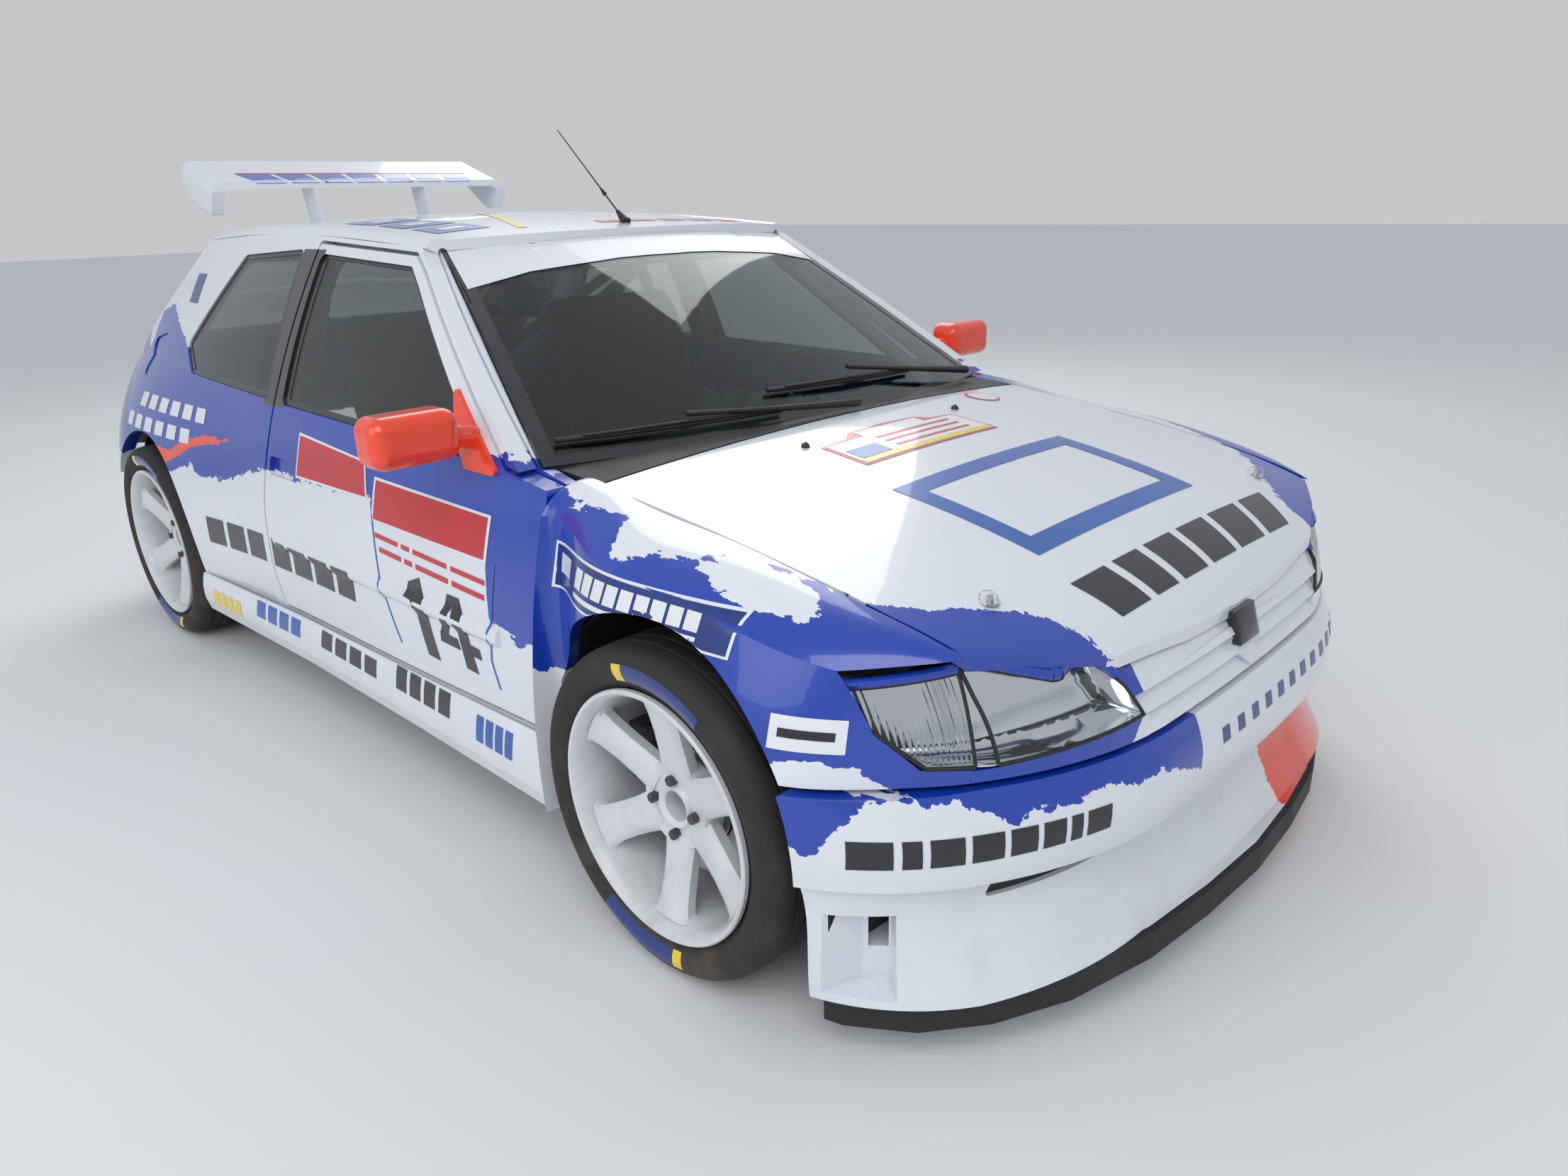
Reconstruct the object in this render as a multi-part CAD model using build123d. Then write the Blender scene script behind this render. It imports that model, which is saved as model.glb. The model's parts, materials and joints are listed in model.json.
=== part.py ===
from build123d import *
import os

os.makedirs("parts", exist_ok=True)

# A front-wheel-drive rally hatchback. Millimetres, X to the nose, Y to the car's left, Z up,
# with the origin on the floor under the middle of the car.

# Driving dimensions
FRONT_AXLE_X = 1228
REAR_AXLE_X = -1352
HUB_Z = 322
TYRE_R = 322
TYRE_WIDTH = 205
RIM_R = 245
WHEEL_FACE_Y = 915
ARCH_R = 380
MOUTH_R = 343
MOUTH_Y = 862
STEERED_R = 384
STEERED_Y = 720
NOSE_X = 1976
TAIL_X = -1984
SILL_Z = 240
SKIRT_LOW_Z = 178
SPLITTER_LOW_Z = 62
SPLITTER_TOP_Z = 119
SPLITTER_CROWN = 33
DOOR_FRONT_X = 853
DOOR_LOW_Z = 346
SILL_DROP = 34
SKIRT_GAP = 5
SEAM = 6
DOOR_GAP = 2.6
TAILGATE_GAP = 9
DOOR_WALL = 42
PILLAR_WALL = 32
PANEL = 24
GLASS = 6
LINER = 4
ROOF_END_X = -1290
BUMPER_TOP_Z = 506
FLOOR_Z = 170
FLOOR_T = 12
REAR_FLOOR_X = -900
REAR_FLOOR_Z = 396
REAR_PANEL_Z = 200
JACK_PAD = (450, 720, 162)
STEER_Y = 350
TOW_EYE = (-1870, 420, 128)
KINGPIN_LOW = (FRONT_AXLE_X + 12, 747, 188)
KINGPIN_TOP = (FRONT_AXLE_X - 18, 628, 700)
STEERED_BACK_X = FRONT_AXLE_X - 369
STEERED_OUTER_Y = 836
TAILGATE_TOP_Z = 1244


def box(x0, x1, y0, y1, z0, z1):
    """Block between two corners."""
    return Pos((x0 + x1) / 2, (y0 + y1) / 2, (z0 + z1) / 2) * Box(x1 - x0, y1 - y0, z1 - z0)


def join(*shapes):
    return Part() + list(shapes)


def largest(shape):
    """The biggest solid of a shape."""
    return max(shape.solids(), key=lambda solid: solid.volume)


def mirrored(shape):
    """The same piece on the other side of the car."""
    return shape.mirror(Plane.XZ)


def prism(points, lift, radius=0):
    """Closed outline of points, its corners rounded, pushed along lift."""
    face = Face(Wire.make_polygon([Vector(*p) for p in points], close=True))
    if radius:
        face = face.fillet_2d(radius, face.vertices())
    return Solid.extrude(face, Vector(*lift))


def side_prism(outline, y0, y1, radius=0):
    """Prism along Y over an outline of (x, z)."""
    return prism([(x, y0, z) for x, z in outline], (0, y1 - y0, 0), radius)


def plan_prism(outline, z0, z1, radius=0):
    """Prism along Z over an outline of (x, y)."""
    return prism([(x, y, z0) for x, y in outline], (0, 0, z1 - z0), radius)


def front_prism(outline, x0, x1, radius=0):
    """Prism along X over an outline of (y, z)."""
    return prism([(x0, y, z) for y, z in outline], (x1 - x0, 0, 0), radius)


def rod(start, end, radius):
    """Round bar from start to end."""
    a, b = Vector(*start), Vector(*end)
    plane = Plane(origin=a, z_dir=b - a)
    return Solid.make_cylinder(radius, (b - a).length, plane)


def pipe(points, radius, bend):
    """Round tube along straight runs joined by bends."""
    path = FilletPolyline(*points, radius=bend)
    start = Plane(origin=path @ 0, z_dir=path % 0)
    return sweep(start * Circle(radius), path=path)


def axle_cylinder(x, z, radius, y0, y1):
    """Cylinder that lies along Y."""
    return rod((x, y0, z), (x, y1, z), radius)


def arc(p, q, bulge, across):
    """Arc from p to q whose middle stands off the chord by bulge, towards chord x across."""
    a, b = Vector(*p), Vector(*q)
    normal = (b - a).cross(Vector(*across)).normalized()
    return Edge.make_three_point_arc(a, (a + b) * 0.5 + normal * bulge, b)


def line(p, q):
    return Edge.make_line(Vector(*p), Vector(*q))


def ring(outer, inner, bulges, across):
    """Closed section: arcs along the outer points, and back along the inner ones."""
    spans = list(zip(outer, outer[1:], bulges))
    edges = [arc(p, q, b, across) for p, q, b in spans]
    edges.append(line(outer[-1], inner[-1]))
    backs = list(zip(inner, inner[1:], bulges))
    edges += [arc(q, p, -b, across) for p, q, b in reversed(backs)]
    edges.append(line(inner[0], outer[0]))
    return Wire(edges)


# Flank and side glass, left side, front to back
# x, low_y, belt_y, belt_z, flank_bulge, rail_y, rail_z
SIDE = [
    (858, 852, 806, 858, 30, 600, 1272),
    (500, 856, 812, 844, 32, 602, 1272),
    (112, 858, 814, 850, 33, 603, 1273),
    (-430, 860, 810, 864, 34, 603, 1296),
    (-900, 882, 797, 884, 54, 596, 1294),
    (-1300, 905, 772, 906, 82, 580, 1276),
    (-1640, 880, 735, 905, 88, 556, 1262),
    (-1984, 762, 668, 880, 62, 520, 1250),
]
GLASS_BULGE = 12


def side_shell(start, stop, inset=0, wall=DOOR_WALL, upper_wall=PILLAR_WALL, upper_inset=None):
    """Wall of the car's left side through rows start to stop of SIDE, set in from the skin."""
    upper_inset = inset if upper_inset is None else upper_inset
    sections = []
    for x, low_y, belt_y, belt_z, bulge, rail_y, rail_z in SIDE[start:stop]:
        outer = [(x, low_y - inset, SILL_Z), (x, belt_y - inset, belt_z), (x, rail_y - upper_inset, rail_z)]
        inner = [
            (x, low_y - inset - wall, SILL_Z),
            (x, belt_y - inset - wall, belt_z - 4),
            (x, rail_y - upper_inset - upper_wall, rail_z - 8),
        ]
        sections.append(ring(outer, inner, [bulge, GLASS_BULGE], (1, 0, 0)))
    return Solid.make_loft(sections)


def side_y(x, z):
    """Half width of the skin at x and z, from the rows of SIDE."""
    rows = sorted(SIDE)
    low = max(i for i, row in enumerate(rows[:-1]) if row[0] <= x or i == 0)
    a, b = rows[low], rows[low + 1]
    t = (x - a[0]) / (b[0] - a[0])
    _, low_y, belt_y, belt_z, bulge, rail_y, rail_z = [p + (q - p) * t for p, q in zip(a, b)]
    if z < belt_z:
        s = (z - SILL_Z) / (belt_z - SILL_Z)
        return low_y + (belt_y - low_y) * s + 4 * bulge * s * (1 - s)
    s = (z - belt_z) / (rail_z - belt_z)
    return belt_y + (rail_y - belt_y) * s + 4 * GLASS_BULGE * s * (1 - s)


# Outlines in side view, (x, z)
PILLAR_LINE = [(745, 862), (118, 1262)]
DOOR_OUTLINE = [
    (DOOR_FRONT_X, DOOR_LOW_Z), (DOOR_FRONT_X, 846), (700, 862), (168, 1216), (96, 1256),
    (-412, 1279), (-426, 866), (-470, 600), (-466, 430), (-440, DOOR_LOW_Z - SILL_DROP),
]
DOOR_WINDOW = [(610, 862), (160, 1188), (96, 1230), (-384, 1252), (-380, 876)]
QUARTER_WINDOW = [(-474, 880), (-1090, 894), (-1180, 966), (-900, 1240), (-492, 1262)]
QUARTER_FRONT = [(-450, 1320), (-462, 866), (-506, 600), (-502, 430), (-484, 200)]
DOOR_HANDLE = [(-427, 688), (-427, 738), (-277, 741), (-277, 690)]
FILLER_FLAP = [(-1560, 850), (-1590, 960), (-1440, 990), (-1352, 960), (-1360, 856)]
TAIL_LINE = [(-1290, 1290), (-1400, 1176), (-1540, 1070), (-1767, 930), (-1915, 780), (-1968, 600)]


def grown(outline, amount):
    """Outline of (x, z) moved outwards by amount, away from its middle."""
    face = Face(Wire.make_polygon([Vector(x, 0, z) for x, z in outline], close=True))
    wire = face.outer_wire().offset_2d(amount, kind=Kind.INTERSECTION)
    return wire


def side_prism_grown(outline, amount, y0, y1, radius=0):
    """Side prism over an outline that is grown or shrunk by amount."""
    face = Face(grown(outline, amount))
    if radius:
        face = face.fillet_2d(radius, face.vertices())
    return Solid.extrude(face.moved(Location((0, y0, 0))), Vector(0, y1 - y0, 0))


def front_arch(grow=0):
    """Space of a steered front wheel, left side: round in side view and closer to the tyre at the skin,
    round in plan below, and with a flat back that has a pocket for the tyre's corner at full lock."""
    x, z = FRONT_AXLE_X + 6, HUB_Z + 4
    back, inner, leg_top = FRONT_AXLE_X - 348 - grow, 540 - grow, z + 126
    mouth_z = z + ARCH_R - MOUTH_R
    wide = axle_cylinder(x, z, ARCH_R + grow, inner, 1000) - box(x, 2000, MOUTH_Y, 1001, 0, 1000)
    mouth = axle_cylinder(x, mouth_z, MOUTH_R + grow, MOUTH_Y - 1, 1000)
    turned = rod((x, STEERED_Y, 40), (x, STEERED_Y, leg_top), STEERED_R + grow)
    turned = turned & box(x - 10, 2000, inner, 1000, 0, 800)
    turned = turned - box(x, 2000, MOUTH_Y, 1001, mouth_z, 800)
    leg = box(back, x, inner, 1000, 40, leg_top)
    behind = box(back - 80, back, inner - 1, 1001, 0, 800)
    pocket = box(STEERED_BACK_X - grow, back + 1, inner, STEERED_OUTER_Y + grow, 40, z + 120 + grow)
    return join(wide, mouth, turned, leg) - behind + pocket


def rear_arch(grow=0):
    """Space of a rear wheel, left side."""
    reach, z, inner = ARCH_R - 10 + grow, HUB_Z + 4, 670 - grow
    top = axle_cylinder(REAR_AXLE_X, z, reach, inner, 1000)
    leg = box(REAR_AXLE_X - reach, REAR_AXLE_X + reach, inner, 1000, 40, z)
    return join(top, leg)


def door(side_wall):
    """Door with its window frame, left side."""
    panel = side_wall & side_prism_grown(DOOR_OUTLINE, -SEAM / 2, 400, 1000, 12)
    panel = panel - side_prism(DOOR_WINDOW, 400, 1000, 22)
    panel = panel - (side_prism(DOOR_HANDLE, 700, 1000, 16) - side_shell(0, 6, inset=14, wall=200))
    strip = rub_strip(700, -412)
    return join(panel, strip)


def rub_strip(x0, x1):
    """Half-round strip along the flank."""
    z = 512
    length = x0 - x1
    ys = [side_y(x0 - length * k / 3, z) for k in range(4)]
    sections = []
    for k, y in enumerate(ys):
        x = x0 - length * k / 3
        outer = [(x, y - 8, z - 24), (x, y - 8, z + 24)]
        sections.append(Wire([arc(outer[0], outer[1], 20, (1, 0, 0)), line(outer[1], outer[0])]))
    return Solid.make_loft(sections)


def door_glass():
    shell = side_shell(0, 5, inset=8, wall=GLASS, upper_wall=GLASS)
    return shell & side_prism(DOOR_WINDOW, 400, 1000, 22)


def quarter_glass():
    shell = side_shell(2, 7, inset=6, wall=GLASS, upper_wall=GLASS)
    return shell & side_prism(QUARTER_WINDOW, 400, 1000, 26)


def side_frame(side_wall):
    """Windscreen pillar, roof rail, centre pillar and sill, with the ledge the door shuts on, left side."""
    outline = [
        (DOOR_FRONT_X - 12, 200), (DOOR_FRONT_X - 12, 846), (PILLAR_LINE[0][0], PILLAR_LINE[0][1]),
        (PILLAR_LINE[1][0], PILLAR_LINE[1][1]), (20, 1320),
    ] + QUARTER_FRONT
    frame = side_wall & side_prism(outline, 400, 1000)
    frame = frame - side_prism_grown(DOOR_OUTLINE, SEAM / 2 + DOOR_GAP, 400, 1000, 12)
    ledge = side_shell(0, 6, inset=DOOR_WALL + SEAM + 2, wall=24, upper_wall=14, upper_inset=PILLAR_WALL + 2 * SEAM)
    ledge = ledge & side_prism(outline, 400, 1000)
    opening = side_prism_grown(DOOR_OUTLINE, -46, 400, 1000, 40)
    web = side_shell(0, 6, inset=20, wall=40)
    web = web & side_prism([(834, SILL_Z), (834, 330), (-456, 296), (-478, SILL_Z)], 400, 1000)
    return join(frame, ledge - opening, web)


def tail_ring(z, corner_y, corner_x, middle_x, wall):
    """Crescent section of the tail at height z."""
    drop = corner_x - middle_x
    outer = [(corner_x, corner_y, z), (corner_x, -corner_y, z)]
    inner = [(corner_x + wall, corner_y - wall, z), (corner_x + wall, -corner_y + wall, z)]
    return ring(outer, inner, [drop], (0, 0, 1))


# Tail skin by height: z, corner_x, middle_x
TAIL = [
    (1288, -1286, -1316),
    (1070, -1540, -1606),
    (930, -1762, -1836),
    (780, -1908, -1950),
    (560, -1946, -1980),
]


def tail_shell(inset=0, wall=40):
    sections = []
    for z, corner_x, middle_x in TAIL:
        corner_y = side_y(corner_x, z) - 1 - inset
        sections.append(tail_ring(z, corner_y, corner_x + inset, middle_x + inset, wall))
    return Solid.make_loft(sections)


# Tailgate and its window in rear view, (y, z)
TAILGATE_HALF = [(526, TAILGATE_TOP_Z), (560, 1080), (600, 900), (590, 700), (560, 568)]
TAILGATE = TAILGATE_HALF + [(-y, z) for y, z in reversed(TAILGATE_HALF)]
TAILGATE_WINDOW = [(-456, 1200), (456, 1200), (506, 1080), (530, 960), (-530, 960), (-506, 1080)]


def quarter(side_wall):
    """Rear quarter with the pillar that turns round to the tailgate, left side."""
    outline = [QUARTER_FRONT[0], (ROOF_END_X + 4, 1320)] + TAIL_LINE + [(-1968, 470), (-1690, 470),
                                                                    (-1690, 200)]
    outline += list(reversed(QUARTER_FRONT[1:]))
    panel = side_wall & side_prism(outline, 400, 1000)
    rear = tail_shell() & box(-2000, -1200, 400, 1000, 540, 1284)
    hole = [(y + TAILGATE_GAP, z) for y, z in TAILGATE_HALF]
    hole = [(0, 0), (0, 1400), (hole[0][0], 1400)] + hole + [(hole[-1][0], 0)]
    rear = rear - front_prism(hole, -2100, -1100)
    panel = join(panel, rear)
    panel = panel - rear_arch() - side_prism(QUARTER_WINDOW, 400, 1000, 26)
    return panel - box(-2100, -1600, 300, 1100, 0, BUMPER_TOP_Z + 6)


def tail_lamp_space(gap=0):
    """Corner that the left tail lamp fills."""
    return box(-2100, -1800, 616 + gap, 1000, 630 + gap, 806 - gap)


def filler_flap(side_wall):
    """Shallow recess round the filler, left side."""
    inside = side_shell(3, 8, inset=5, wall=200)
    return side_prism(FILLER_FLAP, 500, 1000, 40) & side_wall - inside


def tailgate():
    panel = tail_shell() & front_prism(TAILGATE, -2100, -1100, 20)
    return panel - front_prism(TAILGATE_WINDOW, -2100, -1100, 40)


def tailgate_glass():
    pane = tail_shell(inset=8, wall=12)
    return pane & front_prism(TAILGATE_WINDOW, -2100, -1100, 40)


# Roof by station: x, rail_y, rail_z, edge_drop_in, edge_rise, top_z
ROOF = [
    (250, 601, 1262, 46, 16, 1292),
    (-80, 603, 1282, 46, 20, 1326),
    (-500, 602, 1298, 46, 22, 1340),
    (-950, 594, 1294, 46, 22, 1334),
    (-1290, 580, 1278, 46, 20, 1312),
]


def roof():
    """Roof skin from rail to rail, its front edge bowed over the windscreen."""
    sections = []
    for x, rail_y, rail_z, run_in, rise, top_z in ROOF:
        edge_y, edge_z = rail_y - run_in, rail_z + rise
        crown = top_z - edge_z
        outer = [(x, -rail_y, rail_z), (x, -edge_y, edge_z), (x, edge_y, edge_z), (x, rail_y, rail_z)]
        inner = [(x, -rail_y + 26, rail_z - 14), (x, -edge_y, edge_z - PANEL),
                 (x, edge_y, edge_z - PANEL), (x, rail_y - 26, rail_z - 14)]
        sections.append(ring(outer, inner, [10, crown, 10], (-1, 0, 0)))
    skin = Solid.make_loft(sections)
    front = Face(Wire([
        arc((112, -640, 1200), (112, 640, 1200), 96, (0, 0, 1)),
        line((112, 640, 1200), (400, 640, 1200)),
        line((400, 640, 1200), (400, -640, 1200)),
        line((400, -640, 1200), (112, -640, 1200)),
    ]))
    skin = skin - Solid.extrude(front, Vector(0, 0, 200))
    header = tail_shell() & box(-1400, -1200, -526, 526, TAILGATE_TOP_Z + SEAM, 1286)
    return join(skin, header)


# Windscreen by height: z, corner_y, corner_x, middle_x
SCREEN = [
    (830, 776, 796, 930),
    (1075, 652, 426, 556),
    (1300, 544, 62, 170),
]


def screen_space(wall=400):
    """Space behind the outer face of the windscreen, wall deep."""
    sections = []
    for z, corner_y, corner_x, middle_x in SCREEN:
        bow = middle_x - corner_x
        outer = [(corner_x, -corner_y, z), (corner_x, corner_y, z)]
        inner = [(corner_x - wall, -corner_y, z), (corner_x - wall, corner_y, z)]
        sections.append(ring(outer, inner, [bow], (0, 0, 1)))
    return Solid.make_loft(sections)


def windscreen():
    pane = screen_space(12)
    outline = [(-752, 862), (752, 862), (566, 1262), (300, 1276), (0, 1281), (-300, 1276), (-566, 1262)]
    return pane & front_prism(outline, 0, 1000)


# Front wing by station, left side: x, low_y, hip_y, hip_z, flank_bulge, seam_y, seam_z
WING = [
    (859, 896, 836, 800, 26, 733, 853),
    (1040, 920, 862, 768, 36, 726, 833),
    (1228, 928, 876, 752, 38, 719, 810),
    (1420, 930, 868, 728, 34, 716, 782),
    (1540, 918, 850, 706, 28, 711, 759),
    (1620, 864, 815, 690, 20, 705, 743),
    (1690, 796, 764, 672, 10, 699, 726),
    (1762, 700, 696, 650, 2, 690, 702),
]


def wing_shell():
    sections = []
    for x, low_y, hip_y, hip_z, bulge, seam_y, seam_z in WING:
        low_z = SKIRT_LOW_Z
        outer = [(x, low_y, low_z), (x, hip_y, hip_z), (x, seam_y, seam_z)]
        inner = [(x, low_y - PANEL, low_z), (x, hip_y - PANEL, hip_z - 12), (x, seam_y, seam_z - PANEL)]
        sections.append(ring(outer, inner, [bulge, 16], (1, 0, 0)))
    return Solid.make_loft(sections)


def front_wing():
    """Front wing over the wheel, left side, with the lamp's corner left open."""
    shell = wing_shell() - front_arch() - box(1300, 2000, 400, 1000, 100, BUMPER_TOP_Z + 3)
    return shell - lamp_prism(4)


# Bonnet by station: x, seam_y, seam_z, middle_z
BONNET = [
    (740, 738, 858, 884),
    (890, 731, 849, 875),
    (1050, 724, 831, 862),
    (1228, 717, 808, 842),
    (1420, 714, 780, 814),
    (1600, 706, 746, 776),
    (1760, 690, 700, 724),
    (1880, 676, 616, 626),
]


def bonnet_shell():
    sections = []
    for x, seam_y, seam_z, middle_z in BONNET:
        crown = middle_z - seam_z
        outer = [(x, -seam_y, seam_z), (x, seam_y, seam_z)]
        inner = [(x, -seam_y, seam_z - PANEL), (x, seam_y, seam_z - PANEL)]
        sections.append(ring(outer, inner, [crown], (-1, 0, 0)))
    return Solid.make_loft(sections)


def bonnet():
    side = [(905, 723.5), (1206, 711.5), (1420, 708), (1600, 701), (1738, 684), (1800, 560), (1850, 418)]
    outline = side + [(1868, 200), (1874, 0), (1868, -200)] + [(x, -y) for x, y in reversed(side)]
    return bonnet_shell() & plan_prism(outline, 500, 1000)


def scuttle():
    """Panel between bonnet and windscreen."""
    plate = bonnet_shell() & plan_prism([(756, 724), (898, 724), (898, -724), (756, -724)], 500, 1000)
    return plate - screen_space()


# Nose by height: z, side_x, side_y, corner_x, corner_y, front_x, front_y, nose_x
NOSE = [
    (BUMPER_TOP_Z, 1480, 925, 1770, 690, 1898, 330, 1906),
    (600, 1470, 905, 1752, 680, 1872, 380, 1884),
    (720, 1450, 870, 1716, 640, 1812, 380, 1826),
]


def nose_ring(z, side_x, side_y_, corner_x, corner_y, front_x, front_y, nose_x, wall, side_bow=18,
              corner_bow=18):
    """Plan section of the nose: side, corner and front, with the other side mirrored."""
    half = [(side_x, side_y_), (corner_x, corner_y), (front_x, front_y)]
    half_in = [(side_x, side_y_ - wall), (corner_x - wall * 0.8, corner_y - wall * 0.8),
               (front_x - wall, front_y - wall * 0.3)]
    outer = [(x, y, z) for x, y in half] + [(x, -y, z) for x, y in reversed(half)]
    inner = [(x, y, z) for x, y in half_in] + [(x, -y, z) for x, y in reversed(half_in)]
    bulges = [side_bow, corner_bow, nose_x - front_x, corner_bow, side_bow]
    return ring(outer, inner, [-b for b in bulges], (0, 0, 1))


def nose_band(wall=60):
    return Solid.make_loft([nose_ring(*row, wall, 34, 24) for row in NOSE])


def lamp_prism(grow=0):
    """Front-view space of the left headlamp."""
    outline = [(386 - grow, 550 - grow), (672, 533 - grow), (755 + grow, 541 - grow), (802 + grow, 598),
               (822 + grow, 690 + grow), (700, 706 + grow), (466 - grow, 680 + grow)]
    return front_prism(outline, 1560, 2000)


def headlamp(band):
    """Headlamp that wraps round the corner, left side."""
    body = band & lamp_prism(0)
    return body - lift_bonnet() - lift_wing()


def lift_bonnet():
    """Space that the bonnet and what lies over it take."""
    sections = []
    for x, seam_y, seam_z, middle_z in BONNET[3:]:
        crown = middle_z - seam_z
        low = PANEL + 9
        edges = [
            arc((x, -seam_y - 4, seam_z - low), (x, seam_y + 4, seam_z - low), crown, (-1, 0, 0)),
            line((x, seam_y + 4, seam_z - low), (x, seam_y + 4, 900)),
            line((x, seam_y + 4, 900), (x, -seam_y - 4, 900)),
            line((x, -seam_y - 4, 900), (x, -seam_y - 4, seam_z - low)),
        ]
        sections.append(Wire(edges))
    return Solid.make_loft(sections)


def lift_wing():
    return front_prism([(680, 676), (1000, 640), (1000, 900), (680, 900)], 1400, 2000)


def nose_at(z, inset):
    """Row of NOSE at height z, set in from the skin."""
    low = NOSE[0] if z < NOSE[1][0] else NOSE[1]
    high = NOSE[1] if z < NOSE[1][0] else NOSE[2]
    t = (z - low[0]) / (high[0] - low[0])
    row = [p + (q - p) * t for p, q in zip(low, high)]
    _, side_x, side_y_, corner_x, corner_y, front_x, front_y, nose_x = row
    return z, side_x, side_y_, corner_x - inset, corner_y - inset / 2, front_x - inset, front_y, nose_x - inset


def slat(z_low, z_high, proud, sunk, wall=16):
    """Strip of the nose between two heights, its lower edge proud and its upper edge sunk."""
    return Solid.make_loft([nose_ring(*nose_at(z_low, -proud), wall, 34, 24),
                            nose_ring(*nose_at(z_high, sunk), wall, 34, 24)])


# Slats of the grille: z_low, z_high
SLATS = [(513, 544), (550, 581), (587, 640)]
SHIELD = [(-46, 641), (46, 641), (51, 604), (37, 548), (0, 517), (-37, 548), (-51, 604)]


def grille(band):
    """Three louvred slats between the lamps around a blank shield, with the trim below the lamps."""
    space = front_prism([(-380, 510), (380, 510), (458, 660), (-458, 660)], 1700, 2000)
    backing = slat(513, 640, -18, 18, 14)
    slats = [slat(low, high, 3, 16, 20) for low, high in SLATS]
    trim = [(372, 510), (700, 510), (700, 529), (672, 529), (386, 546), (372, 546)]
    face = join(backing, *slats) & space
    shield = slat(516, 641, 9, 4, 40) & front_prism(SHIELD, 1700, 2000)
    strip = band & front_prism(trim, 1600, 2000)
    whole = join(face, shield, strip, mirrored(strip))
    return whole - lift_bonnet() - wing_shell() - mirrored(wing_shell()) - lamp_prism() - mirrored(lamp_prism())


# Front bumper by height: z, side_x, side_y, corner_x, corner_y, front_x, front_y, nose_x
BUMPER = [
    (500, 1500, 940, 1776, 690, 1902, 330, 1912),
    (440, 1500, 946, 1800, 700, 1926, 330, 1936),
    (346, 1500, 944, 1800, 705, 1924, 330, 1934),
]
# The part below its crease, hollow under the intake and swept out to the splitter
APRON = [
    (348, 1500, 932, 1784, 694, 1888, 345, 1898),
    (290, 1500, 926, 1772, 690, 1860, 345, 1870),
    (215, 1500, 918, 1784, 700, 1882, 350, 1894),
    (108, 1500, 900, 1822, 728, 1944, 385, 1972),
]
INTAKE = [(-676, 298), (676, 298), (668, 334), (-668, 334)]
# Brake duct in plan: its scoop, and the passage at the scoop's inner end
SCOOP = [(1586, 925), (1745, 935), (1714, 812), (1668, 770), (1632, 804)]
PASSAGE = [(1628, 806), (1676, 768), (1596, 698), (1548, 736)]


# Inner side of the apron in plan, left half
APRON_HOLLOW = [(1300, 700), (1690, 700), (1732, 620), (1822, 330), (1830, 0)]


def apron():
    """Solid nose below the crease, hollowed from behind, with its scoops and intake."""
    sections = []
    for z, side_x, side_y_, corner_x, corner_y, front_x, front_y, nose_x in APRON:
        half = [(side_x, side_y_), (corner_x, corner_y), (front_x, front_y)]
        points = [(x, y, z) for x, y in half] + [(x, -y, z) for x, y in reversed(half)]
        bulges = [-34, -24, front_x - nose_x, -24, -34]
        edges = [arc(p, q, b, (0, 0, 1)) for p, q, b in zip(points, points[1:], bulges)]
        sections.append(Wire(edges + [line(points[-1], points[0])]))
    body = Solid.make_loft(sections)
    body = body - plan_prism(APRON_HOLLOW + [(x, -y) for x, y in reversed(APRON_HOLLOW[:-1])], 0, 500)
    body = body - front_prism(INTAKE, 1600, 2100, 8)
    for duct in (plan_prism(SCOOP, 138, 287, 16), plan_prism(PASSAGE, 200, 280, 10)):
        body = body - duct - mirrored(duct)
    return body


def front_bumper():
    """Bumper with the intake under its crease and a brake duct in each corner."""
    shell = Solid.make_loft([nose_ring(*row, 64, 34, 24) for row in BUMPER])
    low = apron() - crowned(0, SPLITTER_TOP_Z)
    return join(shell, low) - front_arch(LINER) - mirrored(front_arch(LINER))


SPLITTER_HALF = [(1524, 880), (1630, 850), (1735, 785), (1818, 690), (1888, 560), (1940, 380), (1964, 200)]


def crowned(z_low, z_high):
    """Slab whose middle stands higher than its ends."""
    reach, x = 900, 1400
    low = Edge.make_three_point_arc(Vector(x, -reach, z_low), Vector(x, 0, z_low + SPLITTER_CROWN),
                                    Vector(x, reach, z_low))
    high = Edge.make_three_point_arc(Vector(x, reach, z_high), Vector(x, 0, z_high + SPLITTER_CROWN),
                                     Vector(x, -reach, z_high))
    sides = [line((x, reach, z_low), (x, reach, z_high)), line((x, -reach, z_high), (x, -reach, z_low))]
    return Solid.extrude(Face(Wire([low, sides[0], high, sides[1]])), Vector(700, 0, 0))


def splitter_plan(inset):
    """Plan of the splitter as a tall prism, set in from its edge."""
    half = [(x - inset, y - inset * 0.6) for x, y in SPLITTER_HALF]
    outline = half + [(NOSE_X - inset, 0)] + [(x, -y) for x, y in reversed(half)]
    return plan_prism(outline, 0, 300)


def splitter():
    """Crowned blade under the bumper."""
    plate = splitter_plan(12) & crowned(SPLITTER_TOP_Z - 24, SPLITTER_TOP_Z)
    return plate - front_arch(LINER) - mirrored(front_arch(LINER))


def splitter_edge():
    """Rubber strip along the splitter's edge."""
    strip = (splitter_plan(0) - splitter_plan(12)) & crowned(SPLITTER_LOW_Z, SPLITTER_TOP_Z)
    return strip - front_arch(LINER) - mirrored(front_arch(LINER))


# Rear bumper by height, measured to the back: z, side_x, side_y, corner_x, corner_y, rear_x, rear_y, tail_x
REAR = [
    (500, -1660, 886, -1880, 760, -1966, 500, -1976),
    (400, -1660, 896, -1890, 770, -1974, 500, TAIL_X),
    (300, -1660, 892, -1880, 765, -1966, 500, -1976),
    (210, -1660, 876, -1850, 750, -1930, 500, -1940),
]


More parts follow.
